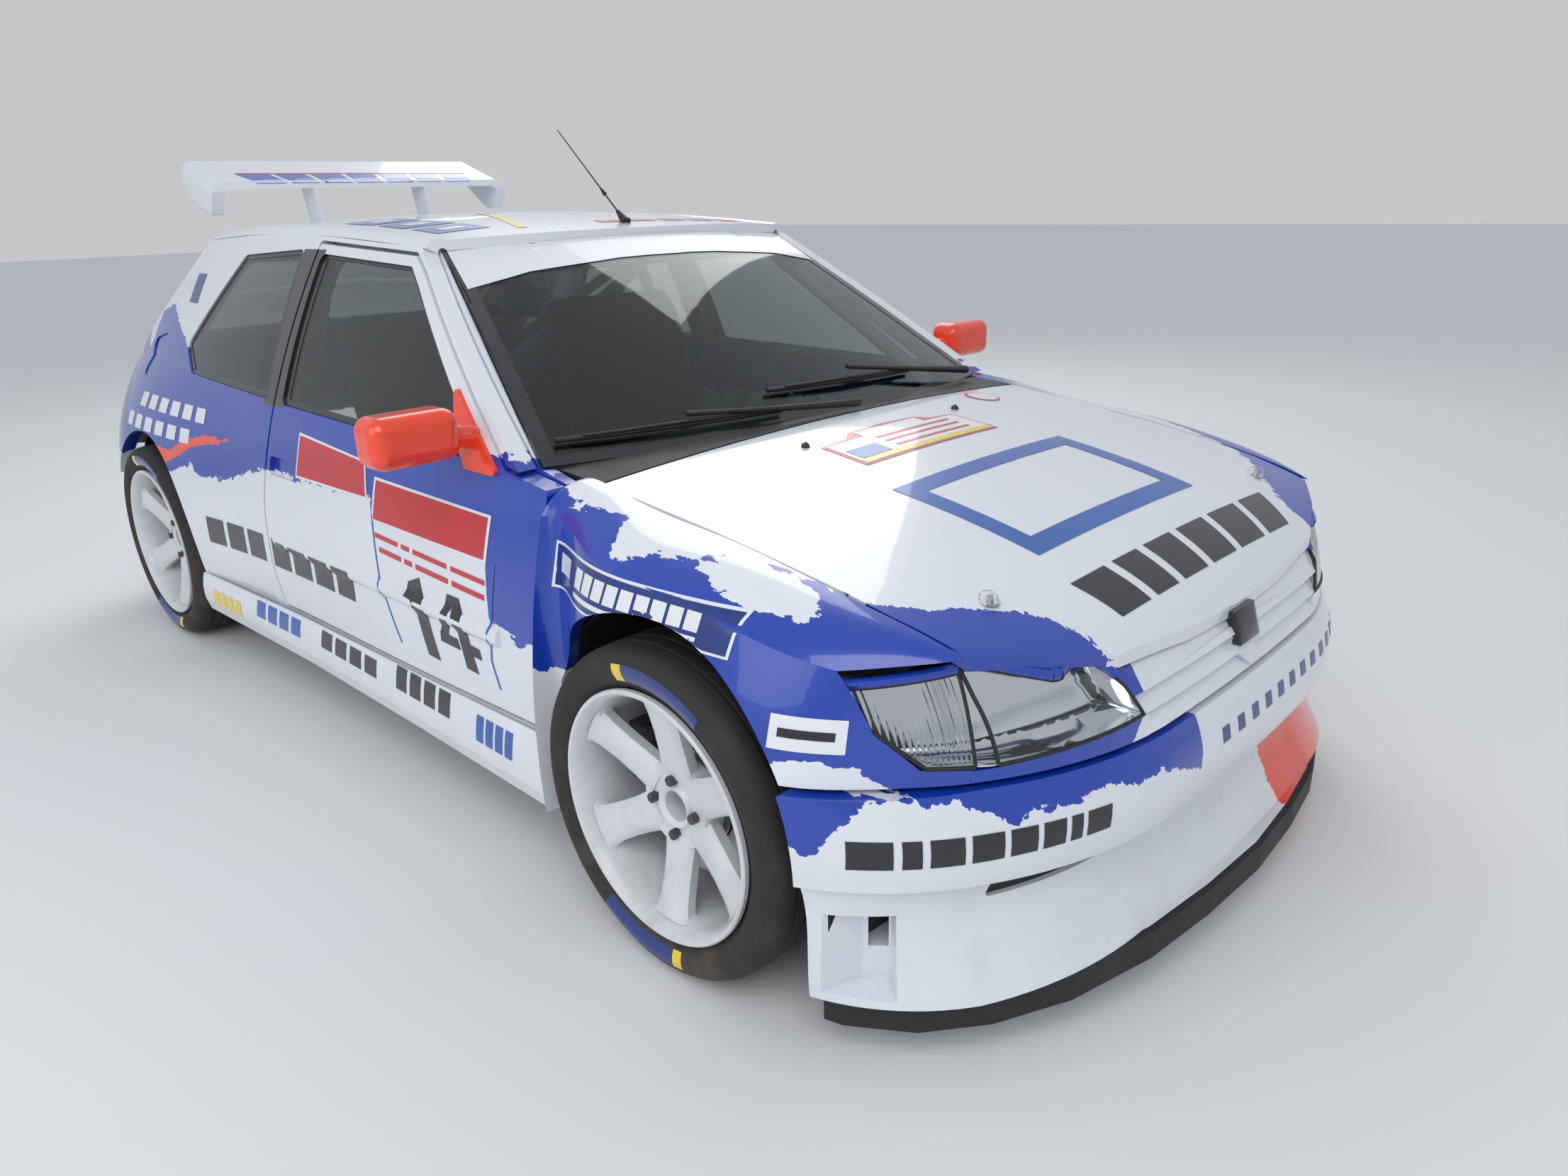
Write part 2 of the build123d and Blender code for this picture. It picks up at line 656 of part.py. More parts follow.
def rear_bumper():
    sections = []
    for z, sx, sy, cx, cy, rx, ry, tx in REAR:
        wall = 40
        half = [(sx, sy), (cx, cy), (rx, ry)]
        half_in = [(sx, sy - wall), (cx + wall * 0.8, cy - wall * 0.8), (rx + wall, ry - wall * 0.3)]
        outer = [(x, y, z) for x, y in half] + [(x, -y, z) for x, y in reversed(half)]
        inner = [(x, y, z) for x, y in half_in] + [(x, -y, z) for x, y in reversed(half_in)]
        sections.append(ring(outer, inner, [24, 24, rx - tx, 24, 24], (0, 0, 1)))
    return Solid.make_loft(sections) - rear_arch(LINER) - mirrored(rear_arch(LINER))


def skirt():
    """Side skirt, left side, from wheel to wheel, that laps the sill up to the door's lower edge."""
    sections = []
    for x, y, drop in [(858, 892, 0), (300, 889, 14), (-300, 892, 30), (-978, 916, 40)]:
        top = DOOR_LOW_Z - 8 - drop
        edges = [
            line((x, y - 70, SILL_Z), (x, side_y(x, SILL_Z) + SKIRT_GAP, SILL_Z)),
            line((x, side_y(x, SILL_Z) + SKIRT_GAP, SILL_Z), (x, side_y(x, top) + SKIRT_GAP, top)),
            line((x, side_y(x, top) + SKIRT_GAP, top), (x, side_y(x, top) + SKIRT_GAP + 5, top)),
            arc((x, side_y(x, top) + SKIRT_GAP + 5, top), (x, y, 214), -5, (1, 0, 0)),
            line((x, y, 214), (x, y - 10, SKIRT_LOW_Z)),
            line((x, y - 10, SKIRT_LOW_Z), (x, y - 70, SKIRT_LOW_Z)),
            line((x, y - 70, SKIRT_LOW_Z), (x, y - 70, SILL_Z)),
        ]
        sections.append(Wire(edges))
    return Solid.make_loft(sections, True) - rear_arch() - front_arch(LINER)


def floor_pan():
    """Flat floor with its tunnel, sill boxes and jack pads, stepped up over the rear axle."""
    top = FLOOR_Z + FLOOR_T
    front = box(REAR_FLOOR_X, 858, -800, 800, FLOOR_Z, top)
    step = box(REAR_FLOOR_X - FLOOR_T, REAR_FLOOR_X, -800, 800, FLOOR_Z, REAR_FLOOR_Z + FLOOR_T)
    plan = [(REAR_FLOOR_X, 800), (-1720, 800), (-1720, 690), (-1880, 640)]
    rear = plan_prism(plan + [(x, -y) for x, y in reversed(plan)], REAR_FLOOR_Z, REAR_FLOOR_Z + FLOOR_T)
    back = box(-1880, -1868, -640, 640, REAR_PANEL_Z, REAR_FLOOR_Z + FLOOR_T)
    flange = box(-1880, -1780, -640, 640, REAR_PANEL_Z, REAR_PANEL_Z + 8)
    tunnel = box(REAR_FLOOR_X, 846, -110, 110, top, 300)
    pan = join(front, step, rear, back, flange, tunnel)
    pan = pan - box(REAR_FLOOR_X - 20, 860, -90, 90, 0, 280) - box(-1900, -1770, -410, -290, 190, 270)
    x, y, z = JACK_PAD
    for side in (1, -1):
        low, high = sorted((740 * side, 800 * side))
        pan = join(pan, box(REAR_FLOOR_X, 846, low, high, top, SILL_Z - 2),
                   box(x - 40, x + 40, y * side - 28, y * side + 28, z, FLOOR_Z))
    for cut in (rear_arch(LINER), front_arch(LINER)):
        pan = pan - cut - mirrored(cut)
    return pan


def tow_eye():
    """Rear towing eye, a plate that hangs from the rear panel's flange."""
    x, y, z = TOW_EYE
    tab = box(x + 10, x + 90, y - 6, y + 6, z + 10, REAR_PANEL_Z)
    loop = axle_cylinder(x, z, 34, y - 6, y + 6)
    return join(tab, loop) - axle_cylinder(x, z, 20, y - 7, y + 7)


def exhaust():
    """Pipe through the tunnel and over the rear axle to a silencer and its tail pipe."""
    run = pipe([(840, 0, 226), (-910, 0, 226), (-1035, -20, 336), (-1250, -120, 336), (-1440, -310, 306)], 26, 50)
    silencer = rod((-1420, -308, 306), (-1730, -334, 292), 70)
    tail = pipe([(-1700, -332, 294), (-1820, -345, 196), (-1962, -350, 164)], 25, 40)
    return join(run, silencer, tail) - rod((-1920, -350, 172), (-1964, -350, 162), 20)


def bulkhead():
    """Wall between engine and cabin, from liner to liner."""
    return box(846, 858, -532, 532, FLOOR_Z + FLOOR_T, 812)


def wheel_liner(arch, outer_y):
    """Liner of a wheel arch, left side, open below and outwards."""
    shell = arch(LINER) - arch()
    return shell - box(-2000, 2000, 400, 1100, -100, SKIRT_LOW_Z) - box(-2000, 2000, outer_y, 1100, 0, 800)


def engine():
    return box(1000, 1440, -420, 420, 260, 690)


def dashboard():
    section = [(640, 800), (560, 830), (480, 790), (470, 700), (540, 620), (640, 640)]
    return side_prism(section, -655, 655, 18)


def seat(side):
    """Bucket seat with side bolsters, on its two rails."""
    y = 350 * side
    back = side_prism([(-340, 290), (-140, 290), (-360, 1010), (-430, 1080), (-500, 1050)],
                      y - 235, y + 235, 30)
    base = side_prism([(250, 330), (250, 400), (-170, 376), (-260, 250), (200, 250)],
                      y - 235, y + 235, 20)
    hollow = side_prism([(300, 380), (300, 700), (-300, 1100), (-330, 1000), (-205, 400)],
                        y - 175, y + 175, 20)
    rails = [box(-180, 200, y + d - 15, y + d + 15, FLOOR_Z + FLOOR_T, 252) for d in (-180, 180)]
    return join(back, base, *rails) - hollow


def roll_cage():
    """Main hoop, screen legs, roof bars, door bars, diagonals and rear stays."""
    r = 21
    foot, hoop_x = FLOOR_Z + FLOOR_T, -540
    hoop = pipe([(hoop_x, -700, foot), (hoop_x, -690, 820), (hoop_x, -530, 1255), (hoop_x, 530, 1255),
                 (hoop_x, 690, 820), (hoop_x, 700, foot)], r, 90)
    pieces = [hoop]
    for s in (1, -1):
        pieces.append(pipe([(700, s * 690, foot), (640, s * 690, 830), (130, s * 530, 1215),
                            (hoop_x, s * 520, 1250)], r, 90))
        pieces.append(rod((hoop_x, s * 540, 1225), (-1060, s * 560, REAR_FLOOR_Z + 16), r))
        pieces.append(rod((hoop_x, s * 692, 520), (690, s * 690, 300), r))
    pieces.append(rod((hoop_x, 560, 1140), (hoop_x, -692, 440), r))
    pieces.append(rod((130, -520, 1215), (130, 520, 1215), r))
    pieces.append(rod((-580, 541.5, 1161), (-1018, -558.4, 466), 17))
    return join(*pieces)


def wing_channel(half, top, radius):
    """Space under a sloping rounded bridge across the car."""
    front = prism([(-1300, half, 1300), (-1300, half, top), (-1300, -half, top), (-1300, -half, 1300)],
                  (-270, 0, 84), radius)
    return front


def rear_wing():
    """Aerofoil across the roof's rear edge, drooped at its ends, on two stays."""
    moulding = wing_channel(546, 1446, 44) - wing_channel(508, 1426, 24)
    chord = [(-1312, 1424), (-1326, 1456), (-1440, 1496), (-1552, 1532), (-1556, 1520), (-1552, 1448),
             (-1470, 1392), (-1400, 1350), (-1352, 1352)]
    blade = moulding & side_prism(chord, -560, 560, 9)
    stays = [side_prism([(-1286, 1300), (-1318, 1434), (-1420, 1470), (-1372, 1262)],
                        s * 206 - 5, s * 206 + 5) for s in (1, -1)]
    return join(blade, *stays)


def mirror():
    """Door mirror on its triangular base."""
    base = side_prism([(690, 846), (560, 846), (500, 900), (440, 1010)], 690, 830, 8)
    base = base & side_shell(0, 4, inset=-8, wall=14, upper_wall=14)
    arm = rod((560, 780, 905), (570, 850, 925), 24)
    head = box(520, 620, 842, 1032, 880, 985)
    head = head.fillet(30, head.edges())
    body = join(base, arm, head)
    return body


def steering():
    rim = Pos(330, STEER_Y, 780) * Rot(0, -68, 0) * Torus(165, 15)
    hub = Pos(330, STEER_Y, 780) * Rot(0, -68, 0) * Cylinder(40, 20)
    spokes = [Pos(330, STEER_Y, 780) * Rot(0, -68, 0) * Rot(0, 0, a) * Pos(85, 0, 0) * Box(140, 24, 6)
              for a in (0, 120, 240)]
    column = rod((330, STEER_Y, 780), (500, STEER_Y, 711), 20)
    return join(rim, hub, column, *spokes)


def turned_ring(x, half):
    """Ring about the axle over an outline of (radius, y)."""
    profile = Face(Wire.make_polygon([Vector(x + r, y, HUB_Z) for r, y in half], close=True))
    return Solid.revolve(profile, 360, Axis((x, 0, HUB_Z), (0, 1, 0)))


# Window between two spokes, from its tip outwards: along the window's middle line, half its width
WINDOW = [(80, 0), (140, 38), (204, 76), (217, 30)]


def rim(x):
    """Wheel with six broad spokes that dish towards the hub, and its brake disc."""
    face = WHEEL_FACE_Y
    back = face - 196
    barrel = turned_ring(x, [
        (226, back), (RIM_R - 3, back), (RIM_R - 3, back + 14), (232, back + 20), (232, face - 22),
        (RIM_R, face - 14), (RIM_R, face), (RIM_R - 8, face), (222, face - 24), (222, back + 8)])
    dish = turned_ring(x, [(34, face - 58), (50, face - 58), (54, face - 64), (70, face - 62), (140, face - 47),
                           (224, face - 26), (224, face - 52), (140, face - 78), (70, face - 96), (34, face - 96)])
    outline = WINDOW + [(u, -v) for u, v in reversed(WINDOW[1:])]
    window = prism([(x + v, 600, HUB_Z + u) for u, v in outline], (0, 400, 0), 9)
    axis = Axis((x, 0, HUB_Z), (0, 1, 0))
    cuts = [window.rotate(axis, 60 * k + 30) for k in range(6)]
    cuts += [axle_cylinder(x, HUB_Z + 56, 11, face - 84, face).rotate(axis, 90 * k + 45) for k in range(4)]
    hub = turned_ring(x, [(34, face - 112), (78, face - 112), (78, face - 90), (34, face - 90)])
    brake = axle_cylinder(x, HUB_Z, 165, face - 150, face - 122)
    neck = axle_cylinder(x, HUB_Z, 70, face - 150, face - 110)
    return join(barrel, dish - join(*cuts), hub, brake, neck)


def tyre(x):
    out, inn = WHEEL_FACE_Y, WHEEL_FACE_Y - TYRE_WIDTH
    z = HUB_Z
    low = RIM_R - 3
    edges = [
        line((x + low, out - 19, z), (x + low, inn + 19, z)),
        Edge.make_three_point_arc(Vector(x + low, inn + 19, z), Vector(x + 280, inn - 6, z),
                                  Vector(x + 305, inn + 8, z)),
        Edge.make_three_point_arc(Vector(x + 305, inn + 8, z), Vector(x + 317, inn + 20, z),
                                  Vector(x + TYRE_R, inn + 40, z)),
        line((x + TYRE_R, inn + 40, z), (x + TYRE_R, out - 40, z)),
        Edge.make_three_point_arc(Vector(x + TYRE_R, out - 40, z), Vector(x + 317, out - 20, z),
                                  Vector(x + 305, out - 8, z)),
        Edge.make_three_point_arc(Vector(x + 305, out - 8, z), Vector(x + 280, out + 6, z),
                                  Vector(x + low, out - 19, z)),
    ]
    body = Solid.revolve(Face(Wire(edges)), 360, Axis((x, 0, z), (0, 1, 0)))
    return body


def knuckle():
    """Strut with its upright, stub axle, steering arm and brake caliper, left side."""
    x, z = FRONT_AXLE_X, HUB_Z
    upright = front_prism([(714, 206), (757, 206), (755, 400), (708, 480), (654, 480), (684, 380)],
                          x - 36, x + 36)
    stub = axle_cylinder(x, z, 30, 740, WHEEL_FACE_Y - 151)
    strut = rod(on_kingpin(430), on_kingpin(692), 25)
    arm = box(x - 130, x - 34, 700, 725, z - 60, z - 30)
    caliper = box(x - 175, x - 105, 735, 812, z - 20, z + 100)
    bridge = box(x - 120, x - 30, 700, 736, z + 10, z + 60)
    body = join(upright, stub, strut, arm, bridge, caliper)
    body = body - axle_cylinder(x, z, 171, 759, 799)
    return body


def on_kingpin(z):
    """Point of the left kingpin axis at height z."""
    low, top = KINGPIN_LOW, KINGPIN_TOP
    t = (z - low[2]) / (top[2] - low[2])
    return tuple(a + (b - a) * t for a, b in zip(low, top))


def wishbone_gap():
    """Cut in the front liner's inner wall where the wishbone passes."""
    return box(FRONT_AXLE_X - 150, FRONT_AXLE_X + 170, 530, 542, SKIRT_LOW_Z, 262)


def front_suspension():
    """Cross-member with a wishbone each side, whose ball pins stand under the uprights."""
    x = FRONT_AXLE_X
    pieces = [box(x - 160, x - 60, -420, 420, 200, 250), box(x + 100, x + 160, -420, 420, 205, 245)]
    pieces += [box(x - 60, x + 100, s - 30, s + 30, 205, 245) for s in (-300, 300)]
    for s in (1, -1):
        ball = (KINGPIN_LOW[0], s * KINGPIN_LOW[1], 178)
        pieces.append(rod((x - 110, s * 400, 225), ball, 14))
        pieces.append(rod((x + 130, s * 400, 225), ball, 14))
        pieces.append(rod((ball[0], ball[1], 170), (ball[0], ball[1], 204.5), 10))
    return join(*pieces)


def rear_stub(radius):
    return axle_cylinder(REAR_AXLE_X, HUB_Z, radius, 600, WHEEL_FACE_Y - 151)


def rear_axle():
    """Cross tube with a trailing arm, stub axle and damper each side."""
    x, z = REAR_AXLE_X, HUB_Z
    pieces = [rod((x + 250, -640, 250), (x + 250, 640, 250), 35)]
    half = join(rod((x + 250, 618, 250), (x, 618, z), 28), rear_stub(32),
                rod((x + 20, 600, z + 12), (x + 200, 590, 362), 24))
    return join(*pieces, half, mirrored(half))


def save(name, shape):
    export_step(shape, f"parts/{name}.step")


def body_pieces():
    """Outer panels and glass, in the order that one is trimmed by the next."""
    front_wall = side_shell(0, 6)
    rear_wall = side_shell(3, 8)
    band = nose_band()
    roof_skin = roof()
    door_ = door(front_wall)
    glass = door_glass()
    lit_quarter = quarter(rear_wall) - roof_skin
    rear_quarter = lit_quarter - tail_lamp_space()
    left = {
        "door": door_,
        "door_glass": glass,
        "mirror": mirror() - door_ - glass,
        "quarter_glass": quarter_glass(),
        "side_frame": side_frame(front_wall) - roof_skin,
        "rear_quarter": rear_quarter,
        "tail_lamp": lit_quarter & tail_lamp_space(1),
        "front_wing": front_wing(),
        "headlamp": headlamp(band),
        "skirt": skirt(),
        "front_liner": largest(wheel_liner(front_arch, 840) - wishbone_gap() - wing_shell()),
        "rear_liner": wheel_liner(rear_arch, 826) - rear_stub(40),
        "knuckle": knuckle(),
    }
    for x, place in ((FRONT_AXLE_X, "front"), (REAR_AXLE_X, "rear")):
        left[f"wheel_{place}"] = rim(x)
        left[f"tyre_{place}"] = tyre(x) - left[f"wheel_{place}"]
    pieces = {}
    for name, shape in left.items():
        pieces[f"{name}_left"] = shape
        pieces[f"{name}_right"] = mirrored(shape)
    pieces["rear_quarter_right"] = mirrored(rear_quarter - filler_flap(rear_wall))
    pieces["bonnet"] = bonnet()
    pieces["roof_panel"] = roof_skin
    pieces["windscreen"] = windscreen() - roof_skin - pieces["side_frame_left"] - pieces["side_frame_right"]
    pieces["tailgate"] = tailgate()
    pieces["tailgate_glass"] = tailgate_glass()
    pieces["splitter"] = splitter()
    pieces["splitter_edge"] = splitter_edge()
    pieces["front_bumper"] = front_bumper()
    pieces["rear_bumper"] = rear_bumper()
    pieces["grille"] = grille(band)
    pieces["scuttle"] = scuttle()
    return pieces


def inner_pieces():
    """What shows inside, below and behind the panels."""
    floor = floor_pan() - rear_bumper()
    return {
        "floor_pan": floor,
        "tow_eye": tow_eye() - floor,
        "bulkhead": bulkhead(),
        "engine_block": engine(),
        "dashboard": dashboard(),
        "seat_left": seat(1),
        "seat_right": seat(-1),
        "roll_cage": roll_cage() - floor,
        "rear_wing": rear_wing() - roof(),
        "steering_wheel": steering() - dashboard(),
        "front_suspension": front_suspension(),
        "exhaust": exhaust() - floor,
        "rear_axle": rear_axle(),
    }


for name, shape in {**body_pieces(), **inner_pieces()}.items():
    save(name, shape)
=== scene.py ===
"""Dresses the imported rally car: paint, glass, wheels, lamps, cabin, underside and graphics."""
from __future__ import annotations

import json
import logging
import math
from dataclasses import dataclass, field
from enum import Enum
from typing import Iterable, Sequence

import bmesh
import bpy
from mathutils import Matrix, Vector
from mathutils.bvhtree import BVHTree

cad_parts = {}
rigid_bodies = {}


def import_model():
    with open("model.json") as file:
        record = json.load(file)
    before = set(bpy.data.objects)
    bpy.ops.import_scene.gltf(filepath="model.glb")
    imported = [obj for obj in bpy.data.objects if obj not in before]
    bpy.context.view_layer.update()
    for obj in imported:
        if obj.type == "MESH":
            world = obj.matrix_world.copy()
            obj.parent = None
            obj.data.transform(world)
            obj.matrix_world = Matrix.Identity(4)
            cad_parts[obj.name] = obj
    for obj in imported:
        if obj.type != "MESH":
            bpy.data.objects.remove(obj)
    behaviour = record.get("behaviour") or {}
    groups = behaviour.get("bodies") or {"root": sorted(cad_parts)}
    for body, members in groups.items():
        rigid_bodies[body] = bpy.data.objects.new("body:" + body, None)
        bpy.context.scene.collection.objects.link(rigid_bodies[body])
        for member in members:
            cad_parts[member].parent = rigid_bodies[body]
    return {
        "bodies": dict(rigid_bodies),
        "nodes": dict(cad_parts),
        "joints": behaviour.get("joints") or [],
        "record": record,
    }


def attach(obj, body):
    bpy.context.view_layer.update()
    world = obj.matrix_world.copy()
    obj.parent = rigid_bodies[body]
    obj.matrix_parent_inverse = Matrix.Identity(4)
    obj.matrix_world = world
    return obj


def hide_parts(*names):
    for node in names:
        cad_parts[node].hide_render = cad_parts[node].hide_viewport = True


LOG = logging.getLogger("rally_car")
Triple = tuple[float, float, float]
Colour = Triple
Socket = bpy.types.NodeSocket
Value = "float | Socket"
Outline = Sequence[tuple[float, float]]
SIDES = {"left": 1.0, "right": -1.0}
BEYOND = 3.0
BACKWARDS = Vector((-1.0, 0.0, 0.0))
DOWNWARDS = Vector((0.0, 0.0, -1.0))

WHITE: Colour = (0.76, 0.79, 0.84)
BLUE: Colour = (0.005, 0.045, 0.40)
NAVY: Colour = (0.006, 0.03, 0.20)
ORANGE: Colour = (0.90, 0.055, 0.012)
RED: Colour = (0.55, 0.012, 0.02)
BLACK: Colour = (0.012, 0.012, 0.014)
YELLOW: Colour = (0.85, 0.62, 0.02)


class Projection(Enum):
    """Which object axes a border reads: along the car, and up or across."""

    FLANK = ("X", "Z")
    PLAN = ("X", "Y")
    NOSE = ("Y", "Z")


class Graph:
    """Adds nodes to one shader tree."""

    def __init__(self, tree: bpy.types.NodeTree) -> None:
        """Keeps the tree that the nodes go into."""
        self.tree = tree
        self.split: dict[str, Socket] = {}

    def node(self, kind: str, **settings: object) -> bpy.types.Node:
        """Adds a node of a kind and sets its properties."""
        made = self.tree.nodes.new(kind)
        for name, value in settings.items():
            setattr(made, name, value)
        return made

    def feed(self, socket: Socket, value: Value) -> None:
        """Links a socket, or sets its own value."""
        if isinstance(value, bpy.types.NodeSocket):
            self.tree.links.new(value, socket)
        elif isinstance(value, tuple) and len(value) == 3 and socket.type == "RGBA":
            socket.default_value = (*value, 1.0)
        else:
            socket.default_value = value

    def maths(self, operation: str, *values: Value, clamp: bool = False) -> Socket:
        """Scalar maths on one to three values."""
        made = self.node("ShaderNodeMath", operation=operation, use_clamp=clamp)
        for socket, value in zip(made.inputs, values):
            self.feed(socket, value)
        return made.outputs[0]

    def object_point(self) -> Socket:
        """The point on the piece in object coordinates."""
        if "point" not in self.split:
            self.split["point"] = self.node("ShaderNodeTexCoord").outputs["Object"]
        return self.split["point"]

    def axis(self, name: str) -> Socket:
        """One coordinate of the point on the piece."""
        if name not in self.split:
            made = self.node("ShaderNodeSeparateXYZ")
            self.feed(made.inputs[0], self.object_point())
            self.split.update({key: made.outputs[key] for key in "XYZ"})
        return self.split[name]

    def stretched(self, scale: tuple[float, float, float], point: Socket | None = None) -> Socket:
        """The point scaled along each axis."""
        made = self.node("ShaderNodeMapping")
        self.feed(made.inputs["Vector"], point or self.object_point())
        made.inputs["Scale"].default_value = scale
        return made.outputs[0]

    def noise(self, vector: Socket, scale: float, detail: float = 3.0, rough: float = 0.5) -> Socket:
        """Smooth noise from 0 to 1."""
        made = self.node("ShaderNodeTexNoise")
        self.feed(made.inputs["Vector"], vector)
        self.feed(made.inputs["Scale"], scale)
        self.feed(made.inputs["Detail"], detail)
        self.feed(made.inputs["Roughness"], rough)
        return made.outputs[0]

    def ramp(self, value: Value, low: float, high: float, to: tuple[float, float] = (0.0, 1.0)) -> Socket:
        """Value mapped from low..high to a range, clamped and smooth."""
        made = self.node("ShaderNodeMapRange", interpolation_type="SMOOTHSTEP")
        self.feed(made.inputs["Value"], value)
        made.inputs["From Min"].default_value = low
        made.inputs["From Max"].default_value = high
        made.inputs["To Min"].default_value = to[0]
        made.inputs["To Max"].default_value = to[1]
        return made.outputs[0]

    def mix(self, factor: Value, a: Value, b: Value) -> Socket:
        """Colour a turned into colour b by factor."""
        made = self.node("ShaderNodeMix", data_type="RGBA")
        self.feed(made.inputs[0], factor)
        self.feed(made.inputs[6], a)
        self.feed(made.inputs[7], b)
        return made.outputs[2]

    def border(self, value: Socket, points: Outline) -> Socket:
        """Height of a given border at a coordinate, straight from point to point."""
        lows = [min(p[k] for p in points) for k in (0, 1)]
        highs = [max(p[k] for p in points) for k in (0, 1)]
        spans = [max(high - low, 1e-4) for low, high in zip(lows, highs)]
        scaled = self.maths("DIVIDE", self.maths("SUBTRACT", value, lows[0]), spans[0], clamp=True)
        made = self.node("ShaderNodeFloatCurve")
        self.feed(made.inputs["Value"], scaled)
        curve = made.mapping.curves[0]
        units = sorted(((x - lows[0]) / spans[0], (y - lows[1]) / spans[1]) for x, y in points)
        while len(curve.points) < len(units):
            curve.points.new(0.5, 0.5)
        for point, place in zip(curve.points, units):
            point.location = place
            point.handle_type = "VECTOR"
        made.mapping.update()
        return self.maths("MULTIPLY_ADD", made.outputs[0], spans[1], lows[1])

    def group(self, tree: bpy.types.NodeTree, **inputs: Value) -> bpy.types.Node:
        """Places a shared group and feeds its named inputs."""
        made = self.node("ShaderNodeGroup")
        made.node_tree = tree
        for name, value in inputs.items():
            self.feed(made.inputs[name.replace("_", " ")], value)
        return made

    def bump(self, height: Socket, strength: float, distance: float) -> Socket:
        """Normal from a height."""
        made = self.node("ShaderNodeBump")
        made.inputs["Strength"].default_value = strength
        made.inputs["Distance"].default_value = distance
        self.feed(made.inputs["Height"], height)
        return made.outputs[0]


class SharedGroups:
    """Effects that several finishes use, each built once."""

    def __init__(self) -> None:
        """Builds every shared group."""
        self.torn = self._torn_edge()
        self.dust = self._road_dust()
        self.grain = self._fine_grain()

    @staticmethod
    def _start(name: str, inputs: dict[str, str], outputs: dict[str, str]) -> tuple:
        """New group with named sockets.

        Args:
            name: Name of the group.
            inputs: Socket kind by input name.
            outputs: Socket kind by output name.

        Returns:
            The tree, its graph, its input node and its output node.
        """
        tree = bpy.data.node_groups.new(name, "ShaderNodeTree")
        for label, kind in inputs.items():
            tree.interface.new_socket(label, in_out="INPUT", socket_type=kind)
        for label, kind in outputs.items():
            tree.interface.new_socket(label, in_out="OUTPUT", socket_type=kind)
        graph = Graph(tree)
        return tree, graph, graph.node("NodeGroupInput"), graph.node("NodeGroupOutput")

    def _torn_edge(self) -> bpy.types.NodeTree:
        """Mask of a colour zone whose border is ripped into spikes."""
        tree, graph, given, out = self._start(
            "torn edge",
            {"Point": "NodeSocketVector", "Distance": "NodeSocketFloat", "Depth": "NodeSocketFloat"},
            {"Mask": "NodeSocketFloat"},
        )
        point = given.outputs["Point"]
        coarse = graph.noise(graph.stretched((6.0, 14.0, 14.0), point), 1.6, 4.0, 0.62)
        ridge = graph.maths("ABSOLUTE", graph.maths("SUBTRACT", coarse, 0.5))
        fine = graph.noise(graph.stretched((22.0, 60.0, 60.0), point), 1.5, 2.0, 0.5)
        shift = graph.maths("SUBTRACT", graph.maths("MULTIPLY", ridge, 4.4), 0.55)
        shift = graph.maths("ADD", shift, graph.maths("MULTIPLY", graph.maths("SUBTRACT", fine, 0.5), 0.5))
        moved = graph.maths("MULTIPLY_ADD", shift, given.outputs["Depth"], given.outputs["Distance"])
        graph.feed(out.inputs["Mask"], graph.ramp(moved, -0.0006, 0.0006))
        return tree

    def _road_dust(self) -> bpy.types.NodeTree:
        """Mask of dust that thickens towards the road."""
        tree, graph, given, out = self._start(
            "road dust",
            {"Point": "NodeSocketVector", "Height": "NodeSocketFloat", "Amount": "NodeSocketFloat"},
            {"Mask": "NodeSocketFloat"},
        )
        split = graph.node("ShaderNodeSeparateXYZ")
        graph.feed(split.inputs[0], given.outputs["Point"])
        height = graph.maths("DIVIDE", split.outputs["Z"], given.outputs["Height"])
        low = graph.maths("SUBTRACT", 1.0, height, clamp=True)
        spots = graph.noise(given.outputs["Point"], 9.0, 6.0, 0.65)
        mask = graph.maths("MULTIPLY", graph.maths("MULTIPLY", low, low), graph.ramp(spots, 0.35, 0.8))
        graph.feed(out.inputs["Mask"], graph.maths("MULTIPLY", mask, given.outputs["Amount"], clamp=True))
        return tree

    def _fine_grain(self) -> bpy.types.NodeTree:
        """Height of moulded grain or the ripple of sprayed paint."""
        tree, graph, given, out = self._start(
            "fine grain",
            {"Point": "NodeSocketVector", "Scale": "NodeSocketFloat"},
            {"Height": "NodeSocketFloat"},
        )
        made = graph.node("ShaderNodeTexNoise")
        graph.feed(made.inputs["Vector"], given.outputs["Point"])
        graph.feed(made.inputs["Scale"], given.outputs["Scale"])
        made.inputs["Detail"].default_value = 2.0
        graph.feed(out.inputs["Height"], made.outputs[0])
        return tree


